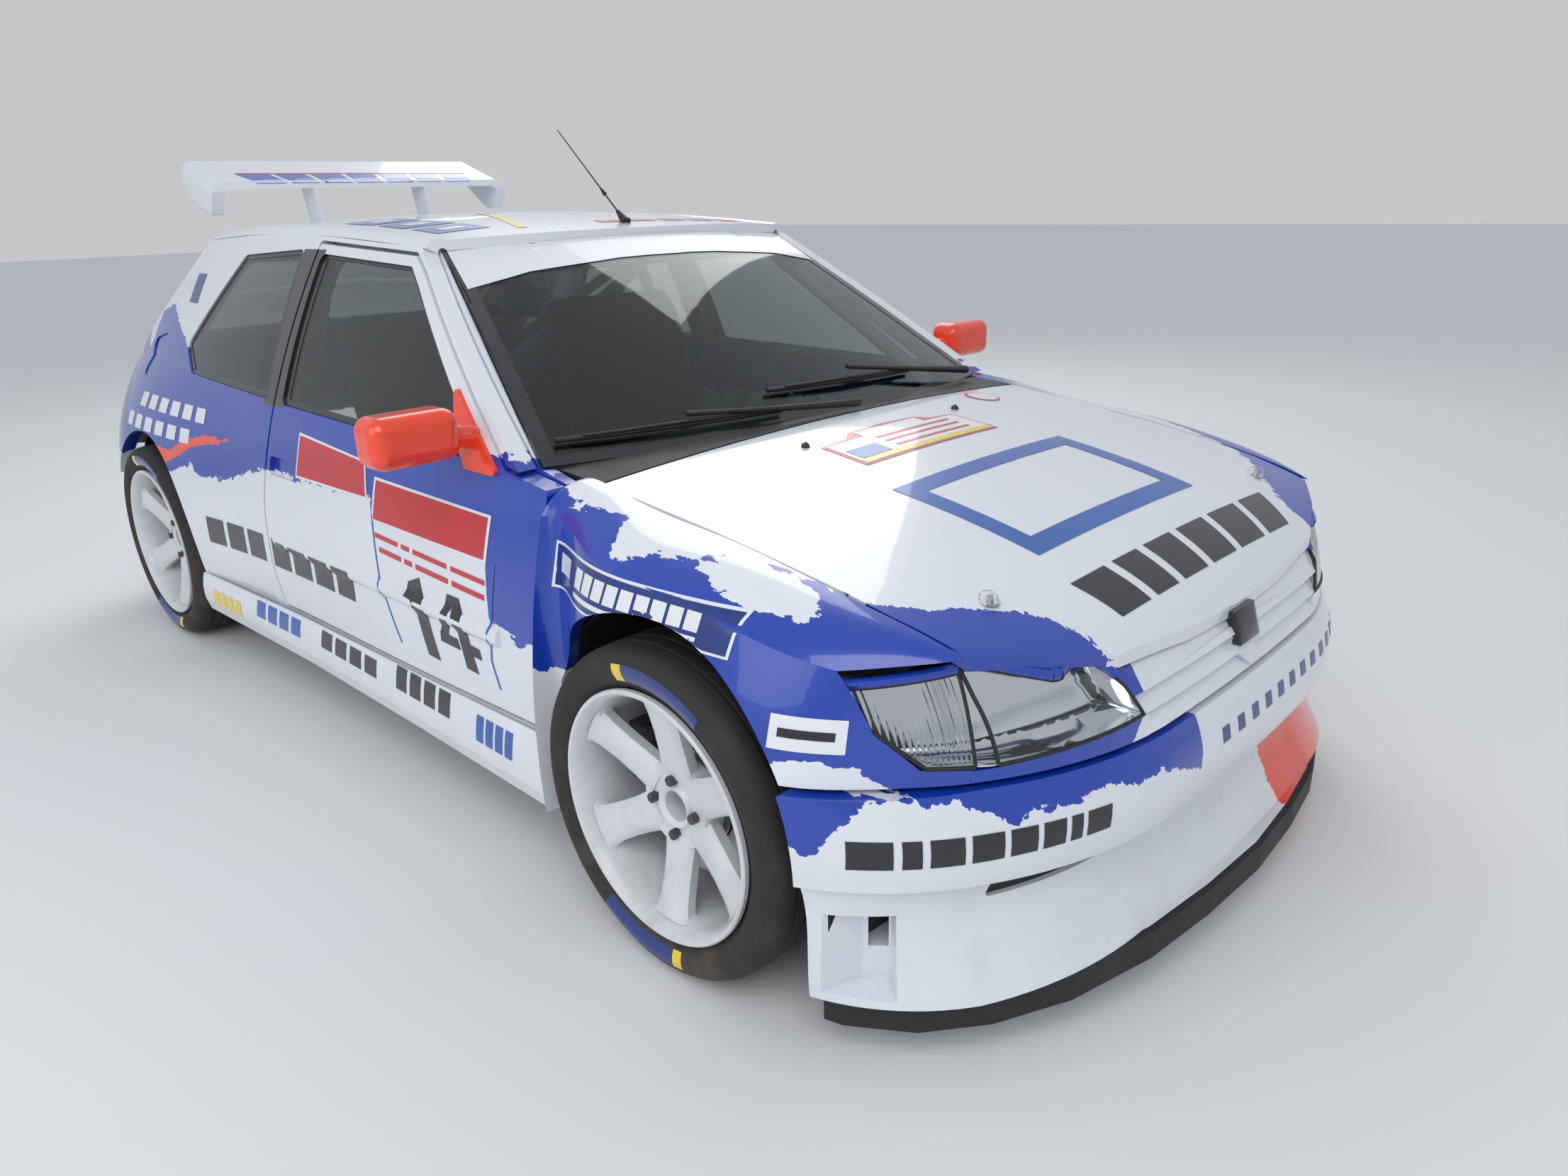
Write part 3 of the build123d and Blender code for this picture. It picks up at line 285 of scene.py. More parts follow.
@dataclass(frozen=True)
class Finish:
    """An even surface with fine variation: plastic, rubber, metal or plain paint."""

    name: str
    colour: Colour
    rough: float = 0.5
    metallic: float = 0.0
    coat: float = 0.0
    grain: float = 700.0
    grain_depth: float = 0.15
    vary: float = 0.12
    dust: float = 0.0
    sheen: float = 0.0

    def build(self, shared: SharedGroups) -> bpy.types.Material:
        """Material of this finish.

        Args:
            shared: The groups that finishes share.

        Returns:
            The finished material.
        """
        material, graph, shader = new_material(self.name)
        point = graph.object_point()
        clouds = graph.noise(point, 7.0, 5.0, 0.6)
        darker = tuple(c * (1.0 - self.vary) for c in self.colour)
        lighter = tuple(min(1.0, c * (1.0 + self.vary)) for c in self.colour)
        colour = graph.mix(clouds, darker, lighter)
        if self.dust:
            mask = graph.group(shared.dust, Point=point, Height=0.9, Amount=self.dust).outputs["Mask"]
            colour = graph.mix(mask, colour, (0.23, 0.18, 0.13))
        graph.feed(shader.inputs["Base Color"], colour)
        rough = (self.rough * 0.85, min(1.0, self.rough * 1.15))
        graph.feed(shader.inputs["Roughness"], graph.ramp(clouds, 0.2, 0.8, rough))
        shader.inputs["Metallic"].default_value = self.metallic
        shader.inputs["Coat Weight"].default_value = self.coat
        shader.inputs["Coat Roughness"].default_value = 0.05
        shader.inputs["Sheen Weight"].default_value = self.sheen
        grain = graph.group(shared.grain, Point=point, Scale=self.grain).outputs["Height"]
        graph.feed(shader.inputs["Normal"], graph.bump(grain, self.grain_depth, 0.0006))
        return material


def vinyl(colour_name: str, colour: Colour, rough: float = 0.3, vary: float = 0.04) -> Finish:
    """Glossy sticker vinyl of one colour."""
    return Finish(f"{colour_name} vinyl", colour, rough=rough, coat=0.5, grain_depth=0.02, vary=vary)


@dataclass(frozen=True)
class Glass:
    """Clear, tinted or ribbed pane."""

    name: str
    tint: Colour = (0.72, 0.80, 0.78)
    rough: float = 0.02
    ribs: float = 0.0

    def build(self, shared: SharedGroups) -> bpy.types.Material:
        """Material of this pane; it needs none of the shared groups."""
        material, graph, shader = new_material(self.name)
        smear = graph.noise(graph.object_point(), 5.0, 4.0, 0.6)
        darker = tuple(0.94 * c for c in self.tint)
        graph.feed(shader.inputs["Base Color"], graph.mix(smear, self.tint, darker))
        graph.feed(shader.inputs["Roughness"], graph.ramp(smear, 0.4, 0.9, (self.rough, self.rough + 0.03)))
        shader.inputs["Transmission Weight"].default_value = 1.0
        shader.inputs["IOR"].default_value = 1.45
        if self.ribs:
            wave = graph.maths("SINE", graph.maths("MULTIPLY", graph.axis("Y"), self.ribs))
            graph.feed(shader.inputs["Normal"], graph.bump(wave, 0.35, 0.001))
        return material


@dataclass(frozen=True)
class Zone:
    """A colour zone beside one given border, both as long as the panel.

    projection names the axes, points are the border in metres, above says on which side
    the colour lies, mirrored reads the distance from the car's centre line, and depth is
    how far the torn edge wanders.
    """

    projection: Projection
    points: Outline
    above: bool = True
    mirrored: bool = False
    depth: float = 0.028


@dataclass(frozen=True)
class Livery:
    """Gloss car paint: white, with blue where all of a panel's zones agree, and orange patches."""

    name: str
    blue: tuple[Zone, ...] = ()
    orange: tuple[Zone, ...] = ()
    splash: tuple[Triple, Triple] | None = None
    strip: tuple[float, float, float, float] | None = None

    def build(self, shared: SharedGroups) -> bpy.types.Material:
        """Material of this panel's paint.

        Args:
            shared: The groups that finishes share.

        Returns:
            The finished material.
        """
        material, graph, shader = new_material(self.name)
        point = graph.object_point()
        clouds = graph.noise(point, 3.0, 3.0, 0.5)
        colour = graph.mix(clouds, tuple(0.97 * c for c in WHITE), WHITE)
        if self.blue:
            mask = self._mask(graph, shared, self.blue)
            if self.splash:
                mask = graph.maths("MULTIPLY", mask, self._outside(graph, shared))
            colour = graph.mix(mask, colour, BLUE)
        if self.orange:
            colour = graph.mix(self._mask(graph, shared, self.orange), colour, ORANGE)
        if self.strip:
            colour = graph.mix(self._strip_mask(graph), colour, BLACK)
        dust = graph.group(shared.dust, Point=point, Height=0.55, Amount=0.35).outputs["Mask"]
        colour = graph.mix(dust, colour, (0.30, 0.27, 0.23))
        graph.feed(shader.inputs["Base Color"], colour)
        graph.feed(shader.inputs["Roughness"], graph.ramp(clouds, 0.3, 0.8, (0.26, 0.34)))
        shader.inputs["Coat Weight"].default_value = 0.8
        shader.inputs["Coat Roughness"].default_value = 0.04
        peel = graph.group(shared.grain, Point=point, Scale=420.0).outputs["Height"]
        graph.feed(shader.inputs["Normal"], graph.bump(peel, 0.04, 0.0004))
        return material

    @staticmethod
    def _mask(graph: Graph, shared: SharedGroups, zones: Sequence[Zone]) -> Socket:
        """One where every zone covers the point."""
        mask: Socket | None = None
        for zone in zones:
            along, up = zone.projection.value
            run = graph.axis(along)
            height = graph.axis(up)
            if zone.mirrored:
                height = graph.maths("ABSOLUTE", height)
            distance = graph.maths("SUBTRACT", height, graph.border(run, zone.points))
            if not zone.above:
                distance = graph.maths("MULTIPLY", distance, -1.0)
            torn = graph.group(shared.torn, Point=graph.object_point(), Distance=distance, Depth=zone.depth)
            part = torn.outputs["Mask"]
            mask = part if mask is None else graph.maths("MULTIPLY", mask, part)
        return mask

    def _strip_mask(self, graph: Graph) -> Socket:
        """One inside the black pillar strip, a block in X and Z."""
        low_x, high_x, low_z, high_z = self.strip
        mask = graph.maths("GREATER_THAN", graph.axis("X"), low_x)
        for operation, axis, limit in (("LESS_THAN", "X", high_x), ("GREATER_THAN", "Z", low_z),
                                       ("LESS_THAN", "Z", high_z)):
            mask = graph.maths("MULTIPLY", mask, graph.maths(operation, graph.axis(axis), limit))
        return mask

    def _outside(self, graph: Graph, shared: SharedGroups) -> Socket:
        """One outside the white splash on the wing."""
        centre, reach = self.splash
        shifted = graph.node("ShaderNodeMapping")
        graph.feed(shifted.inputs["Vector"], graph.object_point())
        shifted.inputs["Location"].default_value = tuple(-c / r for c, r in zip(centre, reach))
        shifted.inputs["Scale"].default_value = tuple(1.0 / r for r in reach)
        length = graph.node("ShaderNodeVectorMath", operation="LENGTH")
        graph.feed(length.inputs[0], shifted.outputs[0])
        distance = graph.maths("MULTIPLY", graph.maths("SUBTRACT", length.outputs["Value"], 1.0), 0.05)
        torn = graph.group(shared.torn, Point=graph.object_point(), Distance=distance, Depth=0.022)
        return torn.outputs["Mask"]


def new_material(name: str) -> tuple[bpy.types.Material, Graph, bpy.types.Node]:
    """Empty material with a Principled shader.

    Args:
        name: Name of the material.

    Returns:
        The material, its graph and its shader node.
    """
    material = bpy.data.materials.new(name)
    material.use_nodes = True
    tree = material.node_tree
    tree.nodes.clear()
    graph = Graph(tree)
    shader = graph.node("ShaderNodeBsdfPrincipled")
    out = graph.node("ShaderNodeOutputMaterial")
    tree.links.new(shader.outputs[0], out.inputs[0])
    return material, graph, shader


class Workshop:
    """Holds the frame and makes, dresses and hangs every piece."""

    def __init__(self) -> None:
        """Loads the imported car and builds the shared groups."""
        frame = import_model()
        self.nodes: dict[str, bpy.types.Object] = frame["nodes"]
        bodies = frame["record"]["behaviour"]["bodies"]
        self.body_of = {node: body for body, members in bodies.items() for node in members}
        self.shared = SharedGroups()
        self.made: dict[str, bpy.types.Material] = {}
        self.skins: dict[tuple[str, ...], BVHTree] = {}

    def material(self, finish: Finish | Glass | Livery) -> bpy.types.Material:
        """The material of a finish, built on first use."""
        if finish.name not in self.made:
            self.made[finish.name] = finish.build(self.shared)
        return self.made[finish.name]

    def dress(self, finish: Finish | Glass | Livery, *nodes: str) -> None:
        """Gives CAD nodes a finish."""
        for name in nodes:
            data = self.nodes[name].data
            data.materials.clear()
            data.materials.append(self.material(finish))
            LOG.info("%s: %s", name, finish.name)

    def add(
        self,
        name: str,
        mesh: bmesh.types.BMesh,
        finish: Finish | Glass | Livery,
        body: str,
        slot: str,
        replaces: Iterable[str] = (),
        crease: float = 35.0,
    ) -> bpy.types.Object:
        """Turns a finished bmesh into a piece that rides on a body.

        Args:
            name: Name of the piece.
            mesh: Its shape, in metres in the car's frame; it is used up.
            finish: Its finish.
            body: The CAD body that carries it.
            slot: The record's material slot; not used.
            replaces: CAD nodes that it stands for.
            crease: Angle in degrees past which an edge stays sharp.

        Returns:
            The new object.
        """
        data = bpy.data.meshes.new(name)
        mesh.to_mesh(data)
        mesh.free()
        data.materials.append(self.material(finish))
        piece = bpy.data.objects.new(name, data)
        bpy.context.scene.collection.objects.link(piece)
        data.shade_smooth()
        data.set_sharp_from_angle(angle=math.radians(crease))
        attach(piece, body)
        if replaces:
            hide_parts(*replaces)
        LOG.info("%s: %d faces on %s", name, len(data.polygons), body)
        return piece

    def skin(self, *nodes: str) -> BVHTree:
        """Search tree over the surfaces of CAD nodes."""
        if nodes not in self.skins:
            points: list[Vector] = []
            faces: list[tuple[int, ...]] = []
            for name in nodes:
                data = self.nodes[name].data
                base = len(points)
                points += [v.co.copy() for v in data.vertices]
                faces += [tuple(base + i for i in p.vertices) for p in data.polygons]
            self.skins[nodes] = BVHTree.FromPolygons(points, faces)
        return self.skins[nodes]


def grid_faces(mesh: bmesh.types.BMesh, rows: Sequence[Sequence[Vector]], closed: bool = False) -> list:
    """Quads between rows of points, each row closed into a loop where asked; returns the rows' corners."""
    verts = [[mesh.verts.new(p) for p in row] for row in rows]
    for low, high in zip(verts, verts[1:]):
        count = len(low)
        for k in range(count if closed else count - 1):
            n = (k + 1) % count
            mesh.faces.new((low[k], low[n], high[n], high[k]))
    return verts


def tidy(mesh: bmesh.types.BMesh, gap: float = 1e-5) -> bmesh.types.BMesh:
    """Merges doubles and turns every face outwards."""
    bmesh.ops.remove_doubles(mesh, verts=mesh.verts, dist=gap)
    bmesh.ops.recalc_face_normals(mesh, faces=mesh.faces)
    return mesh


def cap(mesh: bmesh.types.BMesh) -> bmesh.types.BMesh:
    """Closes every open edge loop and turns faces outwards."""
    bmesh.ops.holes_fill(mesh, edges=[e for e in mesh.edges if e.is_boundary], sides=0)
    bmesh.ops.recalc_face_normals(mesh, faces=mesh.faces)
    return mesh


def tube(
    mesh: bmesh.types.BMesh, path: Sequence[Vector], radius: float | Sequence[float], sides: int = 10
) -> None:
    """Closed round tube along a path."""
    radii = [radius] * len(path) if isinstance(radius, (int, float)) else list(radius)
    rows = []
    up = Vector((0.0, 0.0, 1.0))
    for k, (point, size) in enumerate(zip(path, radii)):
        ahead = (path[min(k + 1, len(path) - 1)] - path[max(k - 1, 0)]).normalized()
        side = ahead.cross(up)
        if side.length < 0.2:
            side = ahead.cross(Vector((1.0, 0.0, 0.0)))
        side.normalize()
        over = side.cross(ahead).normalized()
        rows.append([
            point + (side * math.cos(a) + over * math.sin(a)) * size
            for a in (2 * math.pi * s / sides for s in range(sides))
        ])
    verts = grid_faces(mesh, rows, closed=True)
    mesh.faces.new(list(reversed(verts[0])))
    mesh.faces.new(verts[-1])


@dataclass(frozen=True)
class Stage:
    """Pale floor, soft lights and the photograph's camera."""

    eye: tuple[float, float, float] = (2.583, -1.936, 1.365)
    azimuth: float = 44.431
    elevation: float = 19.913
    roll: float = -1.457
    focal_pixels: float = 1524.2
    frame_pixels: float = 2212.0
    sensor: float = 36.0

    def build(self) -> None:
        """Builds the camera, the lamps, the world and the floor."""
        self._camera()
        self._lamps()
        self._world()
        self._floor()

    def _camera(self) -> None:
        """Camera at the photograph's viewing angle."""
        data = bpy.data.cameras.new("photo camera")
        data.sensor_width = self.sensor
        data.lens = self.focal_pixels / self.frame_pixels * self.sensor
        data.clip_start = 0.05
        data.clip_end = 60.0
        camera = bpy.data.objects.new("photo camera", data)
        bpy.context.scene.collection.objects.link(camera)
        azimuth, elevation, roll = (math.radians(a) for a in (self.azimuth, self.elevation, self.roll))
        back = Vector((
            math.sin(azimuth) * math.cos(elevation),
            -math.cos(azimuth) * math.cos(elevation),
            math.sin(elevation),
        ))
        right = (-back).cross(Vector((0.0, 0.0, 1.0))).normalized()
        up = right.cross(-back)
        turned_right = right * math.cos(roll) + up * math.sin(roll)
        turned_up = up * math.cos(roll) - right * math.sin(roll)
        turn = Matrix((turned_right, turned_up, back)).transposed()
        camera.matrix_world = Matrix.Translation(Vector(self.eye)) @ turn.to_4x4()
        bpy.context.scene.camera = camera

    def _lamps(self) -> None:
        """Three large soft lamps."""
        table = (
            # name, place, aimed at, width, energy
            ("key", (3.6, -3.4, 4.6), (0.4, -0.2, 0.5), 3.4, 95.0),
            ("fill", (0.5, -5.2, 2.4), (0.0, -0.8, 0.5), 3.6, 50.0),
            ("back", (-3.2, 3.2, 4.6), (-0.2, 0.0, 0.6), 4.0, 110.0),
        )
        for name, place, target, width, energy in table:
            data = bpy.data.lights.new(name, "AREA")
            data.shape = "SQUARE"
            data.size = width
            data.energy = energy
            lamp = bpy.data.objects.new(name, data)
            lamp.location = place
            aim = Vector(target) - Vector(place)
            lamp.rotation_mode = "QUATERNION"
            lamp.rotation_quaternion = aim.to_track_quat("-Z", "Y")
            bpy.context.scene.collection.objects.link(lamp)

    def _world(self) -> None:
        """Even pale surroundings, brighter where the camera sees them, directly or through glass."""
        world = bpy.data.worlds.new("surroundings")
        bpy.context.scene.world = world
        world.use_nodes = True
        tree = world.node_tree
        tree.nodes.clear()
        graph = Graph(tree)
        path = graph.node("ShaderNodeLightPath")
        seen = graph.maths("MAXIMUM", path.outputs["Is Camera Ray"], path.outputs["Is Transmission Ray"])
        shade = graph.node("ShaderNodeBackground")
        shade.inputs["Color"].default_value = (0.86, 0.90, 0.96, 1.0)
        shade.inputs["Strength"].default_value = 0.62
        bright = graph.node("ShaderNodeBackground")
        bright.inputs["Color"].default_value = (0.90, 0.91, 0.93, 1.0)
        bright.inputs["Strength"].default_value = 0.62
        blend = graph.node("ShaderNodeMixShader")
        graph.feed(blend.inputs[0], seen)
        tree.links.new(shade.outputs[0], blend.inputs[1])
        tree.links.new(bright.outputs[0], blend.inputs[2])
        out = graph.node("ShaderNodeOutputWorld")
        tree.links.new(blend.outputs[0], out.inputs[0])

    def _floor(self) -> None:
        """Wide pale floor at the tyres' height."""
        mesh = bmesh.new()
        bmesh.ops.create_grid(mesh, x_segments=1, y_segments=1, size=40.0)
        data = bpy.data.meshes.new("floor")
        mesh.to_mesh(data)
        mesh.free()
        material, _, shader = new_material("pale floor")
        shader.inputs["Base Color"].default_value = (0.80, 0.81, 0.82, 1.0)
        shader.inputs["Roughness"].default_value = 0.9
        data.materials.append(material)
        floor = bpy.data.objects.new("floor", data)
        floor.location.z = -0.001
        bpy.context.scene.collection.objects.link(floor)


PLAIN_WHITE = Livery("white paint")
CAGE = Finish("cage paint", (0.42, 0.50, 0.45), rough=0.45, coat=0.2, vary=0.05)
RUBBER = Finish("seal rubber", (0.015, 0.015, 0.016), rough=0.62, grain=900.0, vary=0.2)
MATT_BLACK = Finish("black plastic", (0.018, 0.018, 0.02), rough=0.5, grain=1200.0, grain_depth=0.3)
DARK_STEEL = Finish(
    "dark steel", (0.10, 0.10, 0.105), rough=0.48, metallic=0.8, grain=300.0, vary=0.2, dust=0.5,
)
ALUMINIUM = Finish("cast aluminium", (0.45, 0.45, 0.46), rough=0.42, metallic=0.85, grain=260.0, vary=0.12)
CHROME = Finish("bright reflector", (0.82, 0.84, 0.86), rough=0.08, metallic=1.0, grain_depth=0.02, vary=0.03)
BRIGHT_STEEL = Finish("bright steel", (0.55, 0.55, 0.56), rough=0.28, metallic=1.0, vary=0.08)
FLOOR_GREY = Finish("floor paint", (0.30, 0.33, 0.31), rough=0.6, grain=200.0, dust=0.6)
SEAT_CLOTH = Finish(
    "black seat cloth", (0.018, 0.018, 0.02), rough=0.9, sheen=0.4, grain=1500.0, grain_depth=0.5,
)
BELT_RED = Finish("red webbing", (0.42, 0.02, 0.02), rough=0.75, sheen=0.3, grain=1400.0, grain_depth=0.5)
BLUE_PAINT = Finish("blue paint", BLUE, rough=0.3, coat=0.8, grain_depth=0.03, vary=0.04)
ORANGE_PAINT = Finish("orange paint", ORANGE, rough=0.28, coat=0.8, grain_depth=0.03, vary=0.04)
WHEEL_PAINT = Finish("wheel paint", (0.70, 0.72, 0.75), rough=0.38, coat=0.3, vary=0.04, dust=0.5)
TYRE = Finish(
    "tyre rubber", (0.022, 0.021, 0.020), rough=0.78, grain=500.0, grain_depth=0.5, vary=0.3, dust=0.4,
)
STICKER_WHITE = vinyl("white", (0.78, 0.80, 0.83), rough=0.32, vary=0.02)
STICKER_BLUE = vinyl("blue", (0.012, 0.10, 0.42))
STICKER_NAVY = vinyl("navy", NAVY)
STICKER_RED = vinyl("red", RED)
STICKER_BLACK = vinyl("black", BLACK, rough=0.32, vary=0.1)
STICKER_YELLOW = vinyl("yellow", YELLOW)
PANE = Glass("side glass", tint=(0.44, 0.48, 0.47))
SCREEN_GLASS = Glass("screen glass", tint=(0.46, 0.51, 0.50))
LENS = Glass("lamp lens", tint=(0.92, 0.94, 0.95))
RIBBED_LENS = Glass("ribbed lens", tint=(0.90, 0.92, 0.94), ribs=900.0)
RED_LENS = Glass("red lens", tint=(0.75, 0.02, 0.02), ribs=300.0)


@dataclass
class BodyShell:
    """The painted panels with their torn blue and orange zones."""

    pillar_border: Outline = (
        (-2.0, 1.10), (-1.72, 1.05), (-1.66, 0.93), (-1.61, 0.96), (-1.56, 1.06), (-1.431, 1.087),
        (-1.321, 1.031),
        (-1.255, 1.004), (-1.17, 0.970), (-1.12, 0.935), (-1.0, 0.905), (0.40, 0.885), (0.66, 0.886),
        (0.69, 0.900),
        (0.71, 0.883), (0.86, 0.890),
    )
    flank_border: Outline = (
        (-2.0, 0.60), (-1.15, 0.575), (-0.948, 0.640), (-0.936, 0.615), (-0.814, 0.618), (-0.682, 0.627),
        (-0.591, 0.659), (-0.497, 0.682), (-0.30, 0.688), (0.154, 0.711), (0.16, 0.70), (0.655, 0.66),
        (0.662, 0.535),
        (0.70, 0.527), (0.771, 0.521), (0.90, 0.52),
    )
    bonnet_border: Outline = (
        (0.70, 0.73), (0.804, 0.735), (0.876, 0.779), (0.930, 0.792), (0.995, 0.784), (1.054, 0.775),
        (1.09, 0.84),
        (1.13, 0.85), (1.18, 0.815), (1.25, 0.80), (1.30, 0.755), (1.387, 0.728), (1.458, 0.717),
        (1.496, 0.706),
        (1.557, 0.690), (1.632, 0.626), (1.670, 0.562), (1.713, 0.512), (1.745, 0.478), (1.787, 0.452),
        (1.843, 0.437), (2.0, 0.40),
    )
    wing_low: Outline = (
        (0.84, 0.50), (0.90, 0.48), (0.98, 0.40), (1.40, 0.40), (1.44, 0.545), (1.484, 0.530), (1.598, 0.552),
        (1.626, 0.537), (1.643, 0.538), (1.68, 0.500), (2.0, 0.48),
    )
    trim_border: Outline = (
        (-0.95, 0.50), (-0.42, 0.50), (-0.385, 0.55), (-0.36, 0.70), (0.95, 0.70),
    )
    bumper_border: Outline = (
        (-0.95, 0.44), (-0.90, 0.40), (-0.866, 0.457), (-0.826, 0.50), (-0.80, 0.50), (-0.759, 0.482),
        (-0.735, 0.487), (-0.706, 0.468), (-0.662, 0.436), (-0.626, 0.455), (-0.583, 0.448), (-0.484, 0.458),
        (-0.427, 0.440), (-0.364, 0.447), (-0.30, 0.42), (-0.246, 0.402), (-0.236, 0.43), (-0.225, 0.60),
        (0.55, 0.60), (0.60, 0.50), (0.66, 0.45), (0.70, 0.47), (0.80, 0.44), (0.95, 0.42),
    )
    orange_low: Outline = (
        (-2.0, 0.70), (-1.34, 0.66), (-1.333, 0.641), (-1.205, 0.595), (-1.113, 0.630), (-1.019, 0.662),
        (-0.953, 0.695), (-0.818, 0.716), (-0.718, 0.737), (-0.70, 0.76), (0.9, 0.80),
    )
    orange_high: Outline = (
        (-2.0, 0.60), (-1.36, 0.62), (-1.333, 0.662), (-1.205, 0.675), (-1.113, 0.672), (-1.019, 0.710),
        (-0.961, 0.724), (-0.872, 0.744), (-0.718, 0.742), (-0.70, 0.70), (0.9, 0.70),
    )
    nose_orange: Outline = (
        (-0.95, 0.02), (0.15, 0.02), (0.19, 0.20), (0.215, 0.33), (0.60, 0.35), (0.95, 0.36),
    )
    splash: tuple[Triple, Triple] = ((1.40, -0.785, 0.775), (0.12, 0.045, 0.06))

    def dress(self, shop: Workshop) -> None:
        """Paints every outer panel."""
        flank = Livery("flank paint", blue=(
            Zone(Projection.FLANK, self.flank_border),
            Zone(Projection.FLANK, self.pillar_border, above=False, depth=0.02),
        ), orange=(
            Zone(Projection.FLANK, self.orange_low, depth=0.012),
            Zone(Projection.FLANK, self.orange_high, above=False, depth=0.012),
        ), strip=(-0.496, -0.366, 0.868, 1.262))
        bonnet_zone = Zone(Projection.PLAN, self.bonnet_border, mirrored=True, depth=0.03)
        wing = Livery("wing paint", blue=(
            bonnet_zone,
            Zone(Projection.FLANK, self.wing_low, depth=0.015),
        ), splash=self.splash)
        bonnet = Livery("bonnet paint", blue=(bonnet_zone,))
        nose_patch = (Zone(Projection.NOSE, self.nose_orange, above=False, depth=0.07),)
        bumper = Livery("bumper paint", blue=(Zone(Projection.NOSE, self.bumper_border, depth=0.02),),
                        orange=nose_patch)
        lip = Livery("splitter paint", orange=nose_patch)
        for side in SIDES:
            shop.dress(flank, f"door_{side}", f"side_frame_{side}", f"rear_quarter_{side}")
            shop.dress(wing, f"front_wing_{side}")
            shop.dress(PLAIN_WHITE, f"skirt_{side}")
            shop.dress(ORANGE_PAINT, f"mirror_{side}")
        shop.dress(bonnet, "bonnet")
        shop.dress(bumper, "front_bumper")
        rear = Livery("tail paint", blue=(
            Zone(Projection.NOSE, ((-1.0, 0.62), (1.0, 0.62))),
            Zone(Projection.NOSE, ((-1.0, 0.98), (1.0, 0.98)), above=False),
        ))
        shop.dress(rear, "tailgate")
        trim = Livery("trim paint", blue=(Zone(Projection.NOSE, self.trim_border, depth=0.01),))
        shop.dress(lip, "splitter")
        shop.dress(trim, "grille")
        shop.dress(PLAIN_WHITE, "roof_panel", "rear_bumper", "rear_wing")


@dataclass
class Glazing:
    """The panes; their black borders are laid by ScreenTrim."""

    def dress(self, shop: Workshop) -> None:
        """Gives every pane its glass."""
        for side in SIDES:
            shop.dress(PANE, f"door_glass_{side}", f"quarter_glass_{side}")
            shop.dress(LENS, f"headlamp_{side}")
        shop.dress(SCREEN_GLASS, "windscreen", "tailgate_glass")


@dataclass
class InnerParts:
    """What shows inside, below and behind the panels."""

    def dress(self, shop: Workshop) -> None:
        """Finishes the inner CAD nodes."""
        shop.dress(CAGE, "roll_cage")
        shop.dress(FLOOR_GREY, "floor_pan", "bulkhead")
        shop.dress(MATT_BLACK, "dashboard", "scuttle", "steering_wheel")
        shop.dress(SEAT_CLOTH, "seat_left", "seat_right")
        shop.dress(ALUMINIUM, "engine_block")
        shop.dress(DARK_STEEL, "front_suspension", "rear_axle", "knuckle_left", "knuckle_right", "tow_eye")
        shop.dress(DARK_STEEL, "exhaust")
        shop.dress(RUBBER, "splitter_edge")
        shop.dress(RED_LENS, "tail_lamp_left", "tail_lamp_right")
        for side in SIDES:
            shop.dress(MATT_BLACK, f"front_liner_{side}", f"rear_liner_{side}")


@dataclass(frozen=True)
class RingOfNuts:
    """Hexagon nuts set round a circle by Geometry Nodes."""

    sizes: dict[str, float]

    def _tree(self, material: bpy.types.Material) -> bpy.types.NodeTree:
        """Tree with the sizes as named inputs."""
        tree = bpy.data.node_groups.new("ring of nuts", "GeometryNodeTree")
        for name, value in self.sizes.items():
            kind = "NodeSocketInt" if isinstance(value, int) else "NodeSocketFloat"
            tree.interface.new_socket(name, in_out="INPUT", socket_type=kind)
        tree.interface.new_socket("Geometry", in_out="OUTPUT", socket_type="NodeSocketGeometry")
        given = tree.nodes.new("NodeGroupInput")
        out = tree.nodes.new("NodeGroupOutput")
        circle = tree.nodes.new("GeometryNodeMeshCircle")
        nut = tree.nodes.new("GeometryNodeMeshCylinder")
        nut.inputs["Vertices"].default_value = 6
        place = tree.nodes.new("GeometryNodeInstanceOnPoints")
        real = tree.nodes.new("GeometryNodeRealizeInstances")
        paint = tree.nodes.new("GeometryNodeSetMaterial")
        paint.inputs["Material"].default_value = material
        for start, stop in (
            (given.outputs["Count"], circle.inputs["Vertices"]),
            (given.outputs["Ring Radius"], circle.inputs["Radius"]),
            (given.outputs["Nut Radius"], nut.inputs["Radius"]),
            (given.outputs["Nut Height"], nut.inputs["Depth"]),
            (circle.outputs["Mesh"], place.inputs["Points"]),
            (nut.outputs["Mesh"], place.inputs["Instance"]),
            (place.outputs["Instances"], real.inputs["Geometry"]),
            (real.outputs["Geometry"], paint.inputs["Geometry"]),
            (paint.outputs["Geometry"], out.inputs["Geometry"]),
        ):
            tree.links.new(start, stop)
        return tree

    def mesh(self, material: bpy.types.Material) -> bmesh.types.BMesh:
        """The nuts as a plain mesh round the Z axis."""
        host = bpy.data.objects.new("nut host", bpy.data.meshes.new("nut host"))
        bpy.context.scene.collection.objects.link(host)
        tree = self._tree(material)
        modifier = host.modifiers.new("ring of nuts", "NODES")
        modifier.node_group = tree
        for item in tree.interface.items_tree:
            if item.in_out == "INPUT":
                modifier[item.identifier] = self.sizes[item.name]
        seen = host.evaluated_get(bpy.context.evaluated_depsgraph_get())
        data = bpy.data.meshes.new_from_object(seen)
        host.modifiers.clear()
        bpy.data.objects.remove(host)
        made = bmesh.new()
        made.from_mesh(data)
        bpy.data.meshes.remove(data)
        return made


